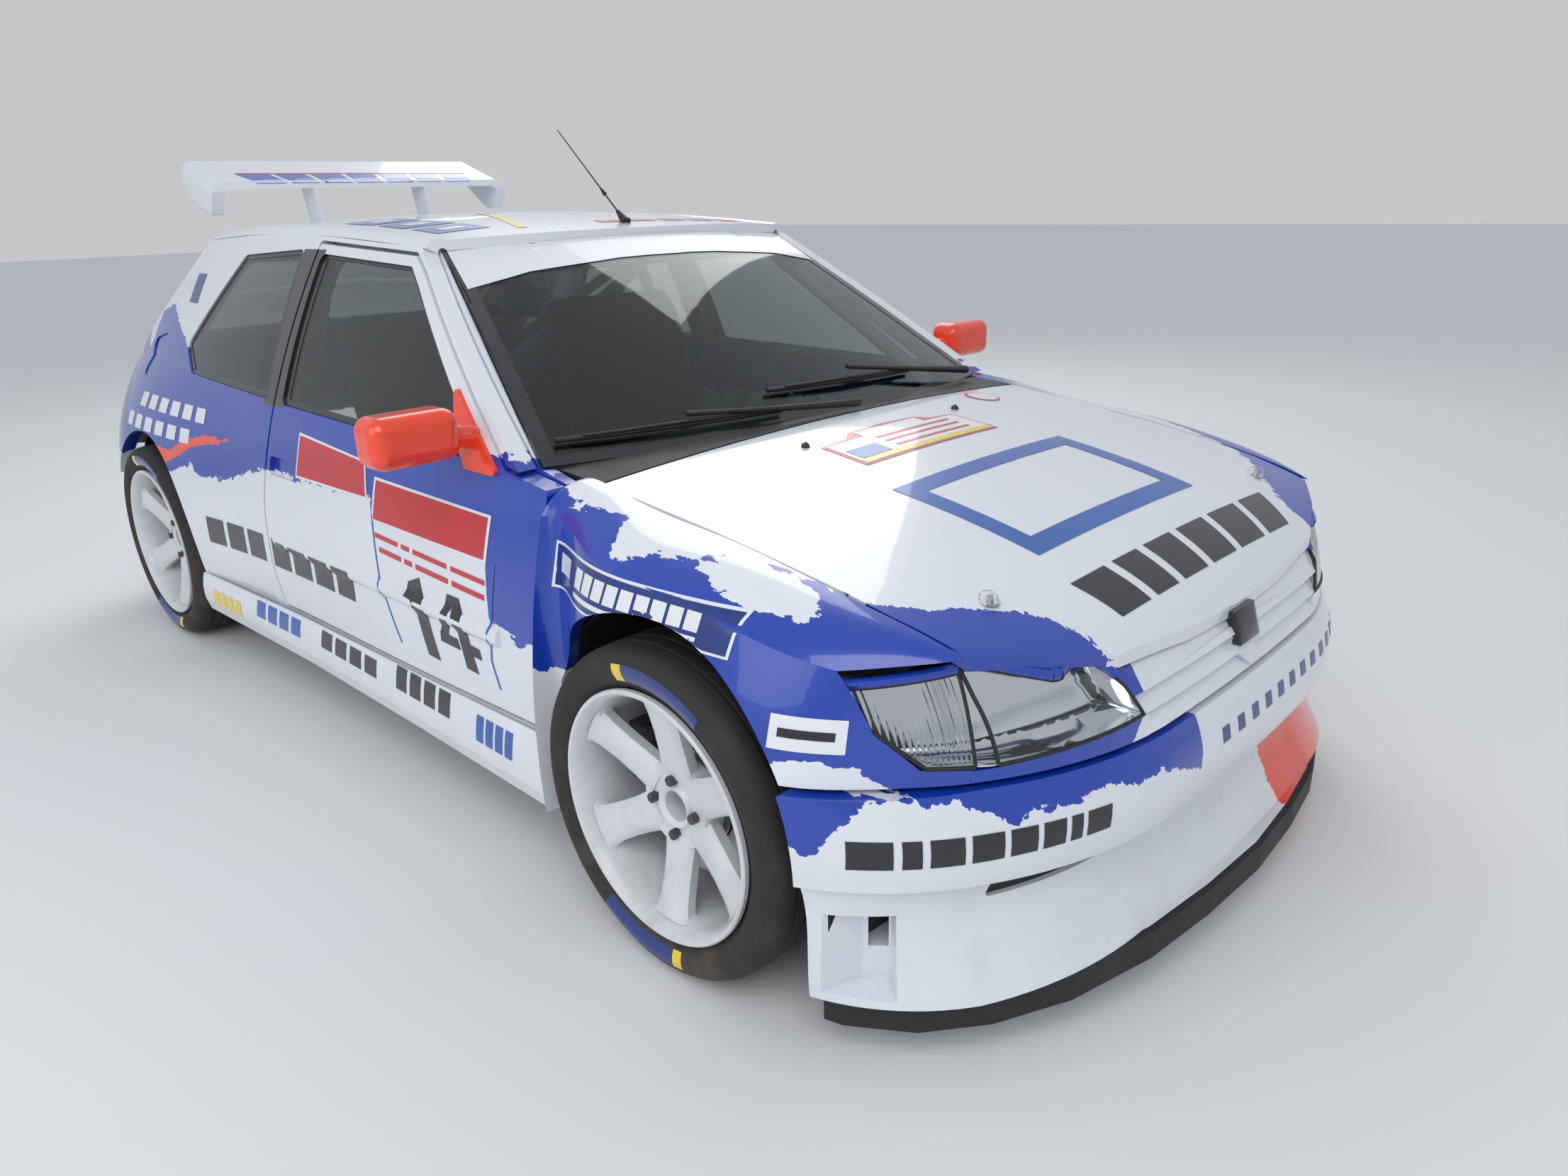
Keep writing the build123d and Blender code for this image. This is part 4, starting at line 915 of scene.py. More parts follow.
@dataclass
class Wheel:
    """White six-spoke wheel with its tyre, brake disc and fasteners."""

    place: str
    side: str
    centre_x: float
    hub_z: float = 0.322
    face: float = 0.915
    rim_radius: float = 0.245
    bore: float = 0.030
    half_spoke: float = 0.038
    tyre_radius: float = 0.3215
    tyre_width: float = 0.205
    segments: int = 96

    def point(self, radius: float, angle: float, out: float) -> Vector:
        """Point at a radius and angle about the axle and a distance from the car's middle."""
        return Vector((
            self.centre_x + radius * math.cos(angle),
            SIDES[self.side] * out,
            self.hub_z + radius * math.sin(angle),
        ))

    def lathe(self, mesh: bmesh.types.BMesh, profile: Outline, segments: int = 0) -> None:
        """Closed ring turned about the axle from (radius, out) points."""
        count = segments or self.segments
        rows = [
            [self.point(radius, 2 * math.pi * k / count, out) for k in range(count)]
            for radius, out in [*profile, profile[0]]
        ]
        grid_faces(mesh, rows, closed=True)

    def build(self, shop: Workshop) -> None:
        """Builds the rim, the tyre, the disc and the nuts."""
        body = f"wheel_{self.place}_{self.side}"
        shop.add(f"rim_{self.place}_{self.side}", self._rim(), WHEEL_PAINT, body, "wheel_paint", [body])
        shop.add(f"tyre_skin_{self.place}_{self.side}", self._tyre(), TYRE, body, "tyre",
                 [f"tyre_{self.place}_{self.side}"])
        shop.add(f"brake_disc_{self.place}_{self.side}", self._disc(), BRIGHT_STEEL, body, "steel")
        shop.add(f"wheel_nuts_{self.place}_{self.side}", self._nuts(shop), DARK_STEEL, body, "steel")
        patches = bmesh.new()
        tabs = bmesh.new()
        for start in (1.02, 1.02 + math.pi):
            self._patch(patches, start, 0.70)
            self._patch(tabs, start + 0.705, 0.09)
        shop.add(f"tyre_patches_{self.place}_{self.side}", patches, STICKER_NAVY, body, "tyre")
        shop.add(f"tyre_tabs_{self.place}_{self.side}", tabs, STICKER_YELLOW, body, "tyre")

    def _rim(self) -> bmesh.types.BMesh:
        """Barrel, spokes and hub."""
        mesh = bmesh.new()
        face, deep = self.face, self.face - 0.196
        lip = self.rim_radius
        barrel = [
            (0.224, deep + 0.004), (0.229, deep), (lip - 0.003, deep), (lip - 0.002, deep + 0.010),
            (lip - 0.006, deep + 0.014), (0.232, deep + 0.022), (0.232, face - 0.026),
            (lip - 0.006, face - 0.016),
            (lip, face - 0.012), (lip, face - 0.003), (lip - 0.003, face), (lip - 0.008, face - 0.001),
            (lip - 0.014, face - 0.008), (0.226, face - 0.026), (0.222, face - 0.06), (0.222, deep + 0.02),
        ]
        self.lathe(mesh, barrel)
        stations = (0.058, 0.072, 0.110, 0.150, 0.190, 0.214, 0.2235)
        flare = (0.004, 0.002, -0.001, -0.002, 0.0, 0.005, 0.016)
        for k in range(6):
            middle = math.radians(60 * k + 90)
            rows = []
            for radius, widen in zip(stations, flare):
                half = self.half_spoke + widen
                front = self._spoke_face(radius)
                chamfer = 0.009
                section = [
                    (-half * 0.92, front - 0.034), (-half, front - 0.012), (-half + chamfer, front - 0.0035),
                    (-half * 0.5, front - 0.0008), (0.0, front), (half * 0.5, front - 0.0008),
                    (half - chamfer, front - 0.0035), (half, front - 0.012), (half * 0.92, front - 0.034),
                ]
                rows.append([self._across(radius, middle, t, out) for t, out in section])
            grid_faces(mesh, rows, closed=True)
        hub = [
            (self.bore, face - 0.110), (self.bore, face - 0.064), (0.034, face - 0.060),
            (0.040, face - 0.0575),
            (0.043, face - 0.060), (0.046, face - 0.066), (0.060, face - 0.0650), (0.072, face - 0.0620),
            (0.082, face - 0.0615), (0.086, face - 0.068), (0.084, face - 0.110),
        ]
        self.lathe(mesh, hub, 72)
        return cap(tidy(mesh, 2e-5))

    def _spoke_face(self, radius: float) -> float:
        """Distance of a spoke's front from the car's middle at a radius."""
        reach = (radius - 0.05) / 0.175
        return self.face - 0.062 + 0.036 * reach ** 1.25

    def _across(self, radius: float, middle: float, side: float, out: float) -> Vector:
        """Point beside a spoke's middle line."""
        along = Vector((math.cos(middle), 0.0, math.sin(middle)))
        beside = Vector((-math.sin(middle), 0.0, math.cos(middle)))
        flat = along * radius + beside * side
        if flat.length > 0.2245:
            flat = flat * (0.2245 / flat.length)
        return Vector((self.centre_x + flat.x, SIDES[self.side] * out, self.hub_z + flat.z))

    def _tyre(self) -> bmesh.types.BMesh:
        """Tyre with rounded shoulders and ribs round the tread."""
        mesh = bmesh.new()
        middle = self.face - self.tyre_width / 2
        top = self.tyre_radius
        half = [
            (0.2455, 0.0865), (0.252, 0.0915), (0.256, 0.0955), (0.262, 0.0985), (0.275, 0.1045),
            (0.286, 0.1060),
            (0.297, 0.1040), (0.3065, 0.0985), (0.3135, 0.0905), (0.3185, 0.0800), (top - 0.001, 0.0700),
            (top - 0.0005, 0.0560), (top - 0.006, 0.0545), (top - 0.006, 0.0485), (top - 0.0002, 0.0470),
            (top, 0.0250), (top - 0.006, 0.0235), (top - 0.006, 0.0165), (top, 0.0150), (top, 0.0),
        ]
        outer = [(r, middle + w) for r, w in half]
        inner = [(r, middle - w) for r, w in reversed(half[:-1])]
        bead = ((0.243, -0.078), (0.262, -0.070), (0.262, 0.070), (0.243, 0.078))
        inside = [(r, middle + w) for r, w in bead]
        self.lathe(mesh, outer + inner + inside)
        return tidy(mesh, 2e-5)

    def _disc(self) -> bmesh.types.BMesh:
        """Brake disc with its bell."""
        mesh = bmesh.new()
        back, front = self.face - 0.150, self.face - 0.122
        self.lathe(mesh, [(0.095, back), (0.165, back), (0.165, back + 0.010), (0.150, back + 0.011),
                          (0.150, front - 0.011), (0.165, front - 0.010), (0.165, front), (0.095, front)])
        self.lathe(mesh, [(0.030, front - 0.004), (0.092, front - 0.004), (0.094, front + 0.012),
                          (0.088, front + 0.016), (0.030, front + 0.018)], 48)
        return tidy(mesh)

    def _nuts(self, shop: Workshop) -> bmesh.types.BMesh:
        """Four wheel nuts in their pockets."""
        sizes = {"Count": 4, "Ring Radius": 0.056, "Nut Radius": 0.0100, "Nut Height": 0.024}
        mesh = RingOfNuts(sizes).mesh(shop.material(DARK_STEEL))
        turn = Matrix.Rotation(math.radians(90), 4, "X")
        place = self.point(0.0, 0.0, self.face - 0.062)
        bmesh.ops.transform(mesh, matrix=Matrix.Translation(place) @ turn, verts=mesh.verts)
        bmesh.ops.recalc_face_normals(mesh, faces=mesh.faces)
        return mesh

    def _patch(self, mesh: bmesh.types.BMesh, start: float, sweep: float) -> None:
        """Thin coloured patch on the sidewall, bent round the tyre."""
        middle = self.face - self.tyre_width / 2
        skin = ((0.2620, 0.0988), (0.2750, 0.1050), (0.2860, 0.1065), (0.2950, 0.1046))
        rows = [
            [self.point(radius, start + sweep * k / 16, middle + width) for k in range(17)]
            for radius, width in skin
        ]
        rows += [
            [self.point(radius, start + sweep * k / 16, middle + width - 0.0008) for k in range(17)]
            for radius, width in reversed(skin)
        ]
        grid_faces(mesh, [*rows, rows[0]])
        tidy(mesh)
        cap(mesh)


@dataclass
class Graphics:
    """Thin vinyl shapes cut to the panels below them, gathered by finish and body."""

    shop: Workshop
    step: float = 0.018
    reach: float = 0.018
    thickness: float = 0.0004
    layer_gap: float = 0.0008
    sheets: dict[tuple[str, str], tuple[bmesh.types.BMesh, Finish]] = field(default_factory=dict)

    def lay(
        self,
        outline: Outline,
        finish: Finish,
        projection: Projection,
        nodes: Sequence[str],
        body: str = "chassis",
        side: str = "right",
        layer: int = 1,
    ) -> None:
        """Cuts one flat outline and lays it on the skin of some nodes.

        Args:
            outline: Corners in millimetres, in the projection's axes.
            finish: The vinyl's finish.
            projection: The plane of the outline.
            nodes: CAD nodes that it lies on.
            body: The body that carries it.
            side: Side of the car that it is on, for a flank.
            layer: 1 for what lies on the paint, 2 for what lies on that.
        """
        flat = bmesh.new()
        flat.faces.new([flat.verts.new((a / 1000, b / 1000, 0.0)) for a, b in outline])
        bmesh.ops.triangulate(flat, faces=flat.faces)
        self._dice(flat, 0)
        self._dice(flat, 1)
        skin = self.shop.skin(*nodes)
        placed = {v.index: self._drop(v.co, projection, skin, side, layer) for v in flat.verts}
        key = (finish.name, body)
        if key not in self.sheets:
            self.sheets[key] = (bmesh.new(), finish)
        target = self.sheets[key][0]
        flat.faces.ensure_lookup_table()
        made: dict[int, tuple] = {}
        borders: dict[tuple[int, int], int] = {}
        for face in flat.faces:
            ids = [v.index for v in face.verts]
            if any(placed[i] is None for i in ids):
                continue
            for i in ids:
                if i not in made:
                    point, normal = placed[i]
                    made[i] = (target.verts.new(point + normal * self.thickness), target.verts.new(point))
            target.faces.new([made[i][0] for i in ids])
            target.faces.new([made[i][1] for i in reversed(ids)])
            for i, j in zip(ids, ids[1:] + ids[:1]):
                borders[(i, j)] = borders.get((i, j), 0) + 1
        for i, j in borders:
            if (j, i) not in borders:
                target.faces.new([made[j][0], made[i][0], made[i][1], made[j][1]])
        flat.free()

    def _dice(self, flat: bmesh.types.BMesh, axis: int) -> None:
        """Cuts the flat shape into strips so that it can follow the panel."""
        normal = Vector((1.0, 0.0, 0.0)) if axis == 0 else Vector((0.0, 1.0, 0.0))
        low = min(v.co[axis] for v in flat.verts)
        high = max(v.co[axis] for v in flat.verts)
        for k in range(math.floor(low / self.step) + 1, math.ceil(high / self.step)):
            geometry = [*flat.verts, *flat.edges, *flat.faces]
            bmesh.ops.bisect_plane(flat, geom=geometry, plane_co=normal * k * self.step, plane_no=normal)
        flat.verts.index_update()

    def _drop(
        self, point: Vector, projection: Projection, skin: BVHTree, side: str, layer: int
    ) -> tuple[Vector, Vector] | None:
        """Where a flat point lands on the skin, and the skin's normal there."""
        if projection is Projection.FLANK:
            start, way = Vector((point.x, SIDES[side] * 2.0, point.y)), Vector((0.0, -SIDES[side], 0.0))
        elif projection is Projection.PLAN:
            start, way = Vector((point.x, point.y, BEYOND)), DOWNWARDS
        else:
            start, way = Vector((BEYOND, point.x, point.y)), BACKWARDS
        place, normal, _, _ = skin.ray_cast(start, way)
        if place is None:
            return self._snap(start, way, skin)
        if normal.dot(way) > 0:
            normal = -normal
        return place + normal * (self.layer_gap * layer), normal

    def _snap(self, start: Vector, way: Vector, skin: BVHTree) -> tuple[Vector, Vector] | None:
        """Nearest edge of the skin beside a ray that just misses it."""
        place = start
        for _ in range(4):
            near, _, _, _ = skin.find_nearest(place)
            place = start + way * (near - start).dot(way)
        return (near - way * self.layer_gap, -way) if (near - place).length < self.reach else None

    def finish_up(self) -> None:
        """Turns the gathered sheets into pieces."""
        for (name, body), (mesh, finish) in self.sheets.items():
            bmesh.ops.dissolve_degenerate(mesh, dist=1e-6, edges=mesh.edges)
            bmesh.ops.recalc_face_normals(mesh, faces=mesh.faces)
            self.shop.add(f"{name} on {body}".replace(" ", "_"), mesh, finish, body, "body_paint")
        self.sheets.clear()


def rect(a0: float, b0: float, a1: float, b1: float) -> Outline:
    """Upright rectangle."""
    return [(a0, b0), (a1, b0), (a1, b1), (a0, b1)]


def oval(a: float, b: float, reach_a: float, reach_b: float, count: int = 28) -> Outline:
    """Ellipse about a centre."""
    turns = (2 * math.pi * k / count for k in range(count))
    return [(a + reach_a * math.cos(t), b + reach_b * math.sin(t)) for t in turns]


def between(frame: Outline, u0: float, v0: float, u1: float, v1: float) -> Outline:
    """Part of a four-cornered frame given from its low rear corner, in shares of its sides."""
    def place(u: float, v: float) -> tuple[float, float]:
        """Point at shares u and v of the frame."""
        low = [p + (q - p) * u for p, q in zip(frame[0], frame[1])]
        high = [p + (q - p) * u for p, q in zip(frame[3], frame[2])]
        return tuple(p + (q - p) * v for p, q in zip(low, high))
    return [place(u0, v0), place(u1, v0), place(u1, v1), place(u0, v1)]


def bars(
    frame: Outline, widths: Sequence[float], gap: float, v0: float = 0.0, v1: float = 1.0
) -> list[Outline]:
    """Bars of given widths with equal gaps, in a frame, where a word would stand."""
    total = sum(widths) + gap * (len(widths) - 1)
    out, at = [], 0.0
    for width in widths:
        out.append(between(frame, at / total, v0, (at + width) / total, v1))
        at += width + gap
    return out


@dataclass
class DoorGraphics:
    """Red panels, the white number plate with 14, and the strip's stripes, on one door."""

    side: str
    red_rear: Outline = ((-262, 704), (140, 713), (121, 801), (-247, 822))
    red_front: Outline = ((162, 668), (655, 665), (668, 766), (172, 772))
    thin_lines: tuple[Outline, ...] = (
        ((159, 712), (192, 531), (261, 388)), ((685, 667), (669, 527), (661, 453), (682, 392)),
    )
    digits: tuple[Outline, ...] = (
        ((332, 558), (383, 577), (441, 391), (390, 393), (350, 520), (318, 522)),
        ((512, 566), (548, 566), (602, 404), (556, 406)),
        ((462, 470), (500, 566), (524, 566), (494, 470)),
        ((458, 446), (458, 470), (530, 468), (538, 444)),
        ((590, 444), (582, 468), (616, 466), (622, 442)),
    )

    def build(self, art: Graphics) -> None:
        """Lays the door's vinyl."""
        nodes, body = [f"door_{self.side}"], f"door_{self.side}"
        def put(outline: Outline, finish: Finish, layer: int = 1) -> None:
            """Lays one shape on this door."""
            art.lay(outline, finish, Projection.FLANK, nodes, body, self.side, layer)
        for frame in (self.red_rear, self.red_front):
            put(frame, STICKER_WHITE)
            put(between(frame, 0.02, 0.06, 0.98, 0.94), STICKER_RED, 2)
        for low in self.thin_lines:
            for (x0, z0), (x1, z1) in zip(low, low[1:]):
                put([(x0 - 3, z0), (x0 + 3, z0), (x1 + 3, z1), (x1 - 3, z1)], STICKER_BLUE)
        for outline in self._digits():
            put(outline, STICKER_BLACK)
        rows = (
            ((180, 632), (650, 617), (650, 628), (180, 643)),
            ((200, 600), (648, 584), (648, 596), (200, 612)),
        )
        for frame in rows:
            for outline in bars(frame, (90, 30, 120, 110), 14):
                put(outline, STICKER_RED)

    def _digits(self) -> list[Outline]:
        """The digits, turned to read rightly on the left side too."""
        if self.side == "right":
            return list(self.digits)
        middle = 470
        return [[(2 * middle - x, z) for x, z in outline] for outline in self.digits]


@dataclass
class WingGraphics:
    """Navy panel with plain bars and a plain white plate, on one front wing."""

    side: str
    panel: Outline = ((876, 664), (1424, 680), (1434, 752), (889, 758))

    def build(self, art: Graphics) -> None:
        """Lays the wing's vinyl."""
        nodes = [f"front_wing_{self.side}"]
        def put(outline: Outline, finish: Finish, layer: int = 1) -> None:
            """Lays one shape on this wing."""
            art.lay(outline, finish, Projection.FLANK, nodes, "chassis", self.side, layer)
        put(self.panel, STICKER_WHITE)
        put(between(self.panel, 0.012, 0.06, 0.988, 0.94), STICKER_NAVY, 2)
        put(between(self.panel, 0.22, 0.18, 0.86, 0.28), STICKER_WHITE, 3)
        for outline in bars(between(self.panel, 0.22, 0.38, 0.86, 0.80), (5, 5, 5, 5, 5, 5, 5, 5, 5), 1.2):
            put(outline, STICKER_WHITE, 3)
        put(between(self.panel, 0.05, 0.38, 0.15, 0.80), STICKER_WHITE, 3)
        put(rect(1518, 566, 1626, 620), STICKER_WHITE)
        put(rect(1532, 586, 1612, 600), STICKER_BLACK, 2)


@dataclass
class NoseGraphics:
    """Black blocks where the bumper's word would be, and what lies on the bonnet, roof and aerofoil."""

    word: Outline = ((-868, 390), (-500, 396), (-494, 436), (-866, 438))
    word_left: Outline = ((-160, 424), (560, 424), (560, 452), (-160, 452))
    bonnet_word: Outline = ((1812, -342), (1815, 380), (1724, 438), (1721, -360))
    frame_outer: Outline = ((1310, -330), (1640, -330), (1640, 286), (1310, 286))
    frame_inner: Outline = ((1358, -282), (1592, -282), (1592, 238), (1358, 238))
    plate: Outline = (
        (1192, -262), (1192, 214), (1056, 216), (1050, 140), (1022, 110), (1014, 0), (1022, -130),
        (1050, -165),
        (1056, -254),
    )
    plate_core: Outline = ((1186, -254), (1186, 206), (1062, 208), (1062, -246))
    aerofoil_word: Outline = ((-1322, -395), (-1322, 395), (-1398, 428), (-1398, -428))

    def build(self, art: Graphics) -> None:
        """Lays the vinyl of nose, bonnet, roof and aerofoil."""
        for outline in bars(self.word, (50, 24, 46, 48, 44, 40, 22, 50), 10):
            art.lay(outline, STICKER_BLACK, Projection.NOSE, ["front_bumper"])
        for outline in bars(self.word_left, (26,) * 12, 34):
            art.lay(outline, STICKER_NAVY, Projection.NOSE, ["front_bumper"])
        self._bonnet(art)
        self._roof(art)

    def _bonnet(self, art: Graphics) -> None:
        """Plain blue frame, the plate with plain bars, a small oval and the black blocks on the bonnet."""
        def put(outline: Outline, finish: Finish, layer: int = 1) -> None:
            """Lays one shape on the bonnet."""
            art.lay(outline, finish, Projection.PLAN, ["bonnet"], "bonnet", layer=layer)
        outer, inner = self.frame_outer, self.frame_inner
        for k in range(len(outer)):
            n = (k + 1) % len(outer)
            put([outer[k], outer[n], inner[n], inner[k]], STICKER_BLUE)
        put(self.plate, STICKER_RED)
        put(self.plate_core, STICKER_WHITE, 2)
        put(rect(1030, -120, 1062, 100), STICKER_WHITE, 2)
        put(between(self.plate_core, 0.01, 0.02, 0.99, 0.17), STICKER_YELLOW, 3)
        put(between(self.plate_core, 0.03, 0.20, 0.24, 0.62), STICKER_BLUE, 3)
        for low in (0.30, 0.55, 0.78):
            put(between(self.plate_core, 0.32, low, 0.90, low + 0.07), STICKER_RED, 3)
        put(oval(975, 468, 48, 44), STICKER_RED)
        put(oval(975, 468, 41, 37), STICKER_WHITE, 2)
        for outline in bars(self.bonnet_word, (84, 66, 78, 84, 92, 84), 22):
            put(outline, STICKER_BLACK)

    def _roof(self, art: Graphics) -> None:
        """Blue, yellow and red shapes on the roof and the aerofoil."""
        roof = ["roof_panel"]
        for x0, x1 in ((-480, -330), (-290, -150), (-110, 20)):
            art.lay(rect(x0, -510, x1, -360), STICKER_BLUE, Projection.PLAN, roof)
            art.lay(rect(x0 + 45, -470, x1 - 40, -400), STICKER_WHITE, Projection.PLAN, roof, layer=2)
        art.lay([(76, -318), (84, -290), (-480, -70), (-488, -98)], STICKER_YELLOW, Projection.PLAN, roof)
        for outline in bars([(52, -60), (52, 460), (96, 460), (96, -60)], (70, 80, 70, 80, 70), 30):
            art.lay(outline, STICKER_RED, Projection.PLAN, roof)
        for outline in bars(self.aerofoil_word, (92, 88, 92, 88, 92, 88, 92), 18):
            art.lay(outline, STICKER_BLUE, Projection.PLAN, ["rear_wing"])
        art.lay(rect(-1412, -430, -1404, 430), STICKER_RED, Projection.PLAN, ["rear_wing"])


@dataclass
class FlankGraphics:
    """Black blocks over door and quarter, white ones on the blue, and the skirt's stickers."""

    side: str
    word_low: tuple[float, float] = (418, 438)
    word_high: tuple[float, float] = (498, 518)
    word_x: tuple[float, float] = (-882, 70)
    word_bars: Outline = (
        # x from, x to
        (-876, -770), (-744, -640), (-614, -510), (-450, -344), (-318, -212), (-186, -80), (-54, 40),
    )
    skirt_marks: tuple[tuple[float, float, float, float, str], ...] = (
        # x from, z from, x to, z to, colour
        (-900, 216, -706, 262, "yellow"), (-590, 248, -320, 296, "blue"), (-186, 258, 124, 304, "black"),
        (228, 264, 478, 322, "black"), (592, 250, 735, 310, "blue"),
    )

    def build(self, art: Graphics) -> None:
        """Lays this side's vinyl."""
        door, quarter = f"door_{self.side}", f"rear_quarter_{self.side}"
        for start, stop in self.word_bars:
            node, body = (door, door) if start > -480 else (quarter, "chassis")
            corners = [
                (x, self._at(x, limits))
                for x, limits in ((start, self.word_low), (stop, self.word_low), (stop, self.word_high),
                                  (start, self.word_high))
            ]
            art.lay(corners, STICKER_BLACK, Projection.FLANK, [node], body, self.side)
        for low, frame in ((700, (-1540, -980)), (768, (-1440, -890))):
            for outline in bars(rect(frame[0], low, frame[1], low + 42), (60, 60, 60, 60, 60, 60), 30):
                art.lay(outline, STICKER_WHITE, Projection.FLANK, [quarter], "chassis", self.side)
        patch = rect(-1276, 1092, -1194, 1178)
        art.lay(patch, STICKER_NAVY, Projection.FLANK, [quarter], "chassis", self.side)
        colours = {"yellow": STICKER_YELLOW, "blue": STICKER_BLUE, "black": STICKER_BLACK}
        skirt = [f"skirt_{self.side}"]
        for x0, z0, x1, z1, colour in self.skirt_marks:
            for outline in bars(rect(x0, z0, x1, z1), (40, 40, 40, 40), 14):
                art.lay(outline, colours[colour], Projection.FLANK, skirt, "chassis", self.side)

    def _at(self, x: float, limits: tuple[float, float]) -> float:
        """Height of the word's edge at x."""
        share = (x - self.word_x[0]) / (self.word_x[1] - self.word_x[0])
        return limits[0] + (limits[1] - limits[0]) * share


@dataclass
class ScreenTrim:
    """Sun strip, dark borders of the panes, and the wipers."""

    border: Outline = (
        (-752, 862), (752, 862), (566, 1262), (300, 1276), (0, 1281), (-300, 1276), (-566, 1262),
    )
    strip_low: Outline = ((-588, 1180), (-410, 1211), (-136, 1230), (136, 1230), (410, 1211), (588, 1180))
    strip_half: float = 554.0
    side_window: Outline = ((610, 862), (160, 1188), (96, 1230), (-384, 1252), (-380, 876))
    rear_window: Outline = ((-474, 880), (-1090, 894), (-1180, 966), (-900, 1240), (-492, 1262))

    def build(self, shop: Workshop, art: Graphics) -> None:
        """Builds every trim of the glass."""
        self._frit(art, self.border, 0.945, Projection.NOSE, ["windscreen"], "chassis", "right")
        for side in SIDES:
            for outline, node, body in (
                (self.side_window, f"door_glass_{side}", f"door_{side}"),
                (self.rear_window, f"quarter_glass_{side}", "chassis"),
            ):
                self._frit(art, outline, 0.93, Projection.FLANK, [node], body, side)
        skin = shop.skin("windscreen")
        strip = [self._strip_column(skin, k / 7 - 1) for k in range(15)]
        for (low, high), (next_low, next_high) in zip(strip, strip[1:]):
            art.lay([low, next_low, next_high, high], STICKER_WHITE, Projection.NOSE, ["windscreen"], layer=2)
        self._wipers(shop)

    def _strip_column(self, skin: BVHTree, share: float) -> Outline:
        """Lower and upper point of the sun strip at a share of its half width.

        The upper point is found on the glass's own edge, so that no gap shows under the roof.
        """
        low_y = share * self.strip_low[-1][0]
        low_z = next(
            z0 + (z1 - z0) * (low_y - y0) / (y1 - y0)
            for (y0, z0), (y1, z1) in zip(self.strip_low, self.strip_low[1:]) if low_y <= y1 + 1e-6
        )
        top_y, top_z = share * self.strip_half, 1240
        while skin.ray_cast(Vector((BEYOND, top_y / 1000, (top_z + 1) / 1000)), BACKWARDS)[0]:
            top_z += 1
        return (low_y, low_z), (top_y, top_z)

    @staticmethod
    def _frit(art: Graphics, outline: Outline, share: float, projection: Projection, nodes: Sequence[str],
              body: str, side: str) -> None:
        """Black border inside an outline."""
        middle = [sum(p[k] for p in outline) / len(outline) for k in (0, 1)]
        inner = [tuple(m + (c - m) * share for c, m in zip(p, middle)) for p in outline]
        edge = [tuple(m + (c - m) * 0.995 for c, m in zip(p, middle)) for p in outline]
        for k in range(len(outline)):
            n = (k + 1) % len(outline)
            if projection is Projection.NOSE and min(outline[k][1], outline[n][1]) > 1250:
                continue
            art.lay([edge[k], edge[n], inner[n], inner[k]], STICKER_BLACK, projection, nodes, body, side)

    def _wipers(self, shop: Workshop) -> None:
        """Two wiper blades with their arms on the windscreen."""
        skin = shop.skin("windscreen")
        table = (
            # blade from and to, arm from and to, as (y, z)
            ((-693, 897), (-150, 892), (65, 868), (-400, 905)),
            ((-140, 930), (400, 910), (640, 866), (150, 938)),
        )
        mesh = bmesh.new()
        for start, stop, pivot, joint in table:
            blade = [self._on(skin, start, stop, t / 10, 0.010) for t in range(11)]
            tube(mesh, blade, 0.006, 8)
            spine = [
                self._on(skin, start, stop, t / 10, 0.020 - 0.006 * abs(t - 5) / 5) for t in range(1, 10)
            ]
            tube(mesh, spine, 0.004, 8)
            arm = [self._on(skin, pivot, joint, t / 6, 0.030 - 0.006 * t / 6) for t in range(7)]
            tube(mesh, arm, [0.011, 0.009, 0.008, 0.007, 0.006, 0.006, 0.006], 8)
        tidy(mesh, 1e-6)
        shop.add("wipers", mesh, MATT_BLACK, "chassis", "dark_plastic")

    @staticmethod
    def _on(
        skin: BVHTree, start: tuple[float, float], stop: tuple[float, float], share: float, lift: float
    ) -> Vector:
        """Point over the windscreen between two (y, z) points."""
        y, z = (p + (q - p) * share for p, q in zip(start, stop))
        place, normal, _, _ = skin.ray_cast(Vector((BEYOND, y / 1000, z / 1000)), BACKWARDS)
        if place is None:
            place, normal, _, _ = skin.find_nearest(Vector((0.9, y / 1000, z / 1000)))
        if normal.x < 0:
            normal = -normal
        return place + normal * lift


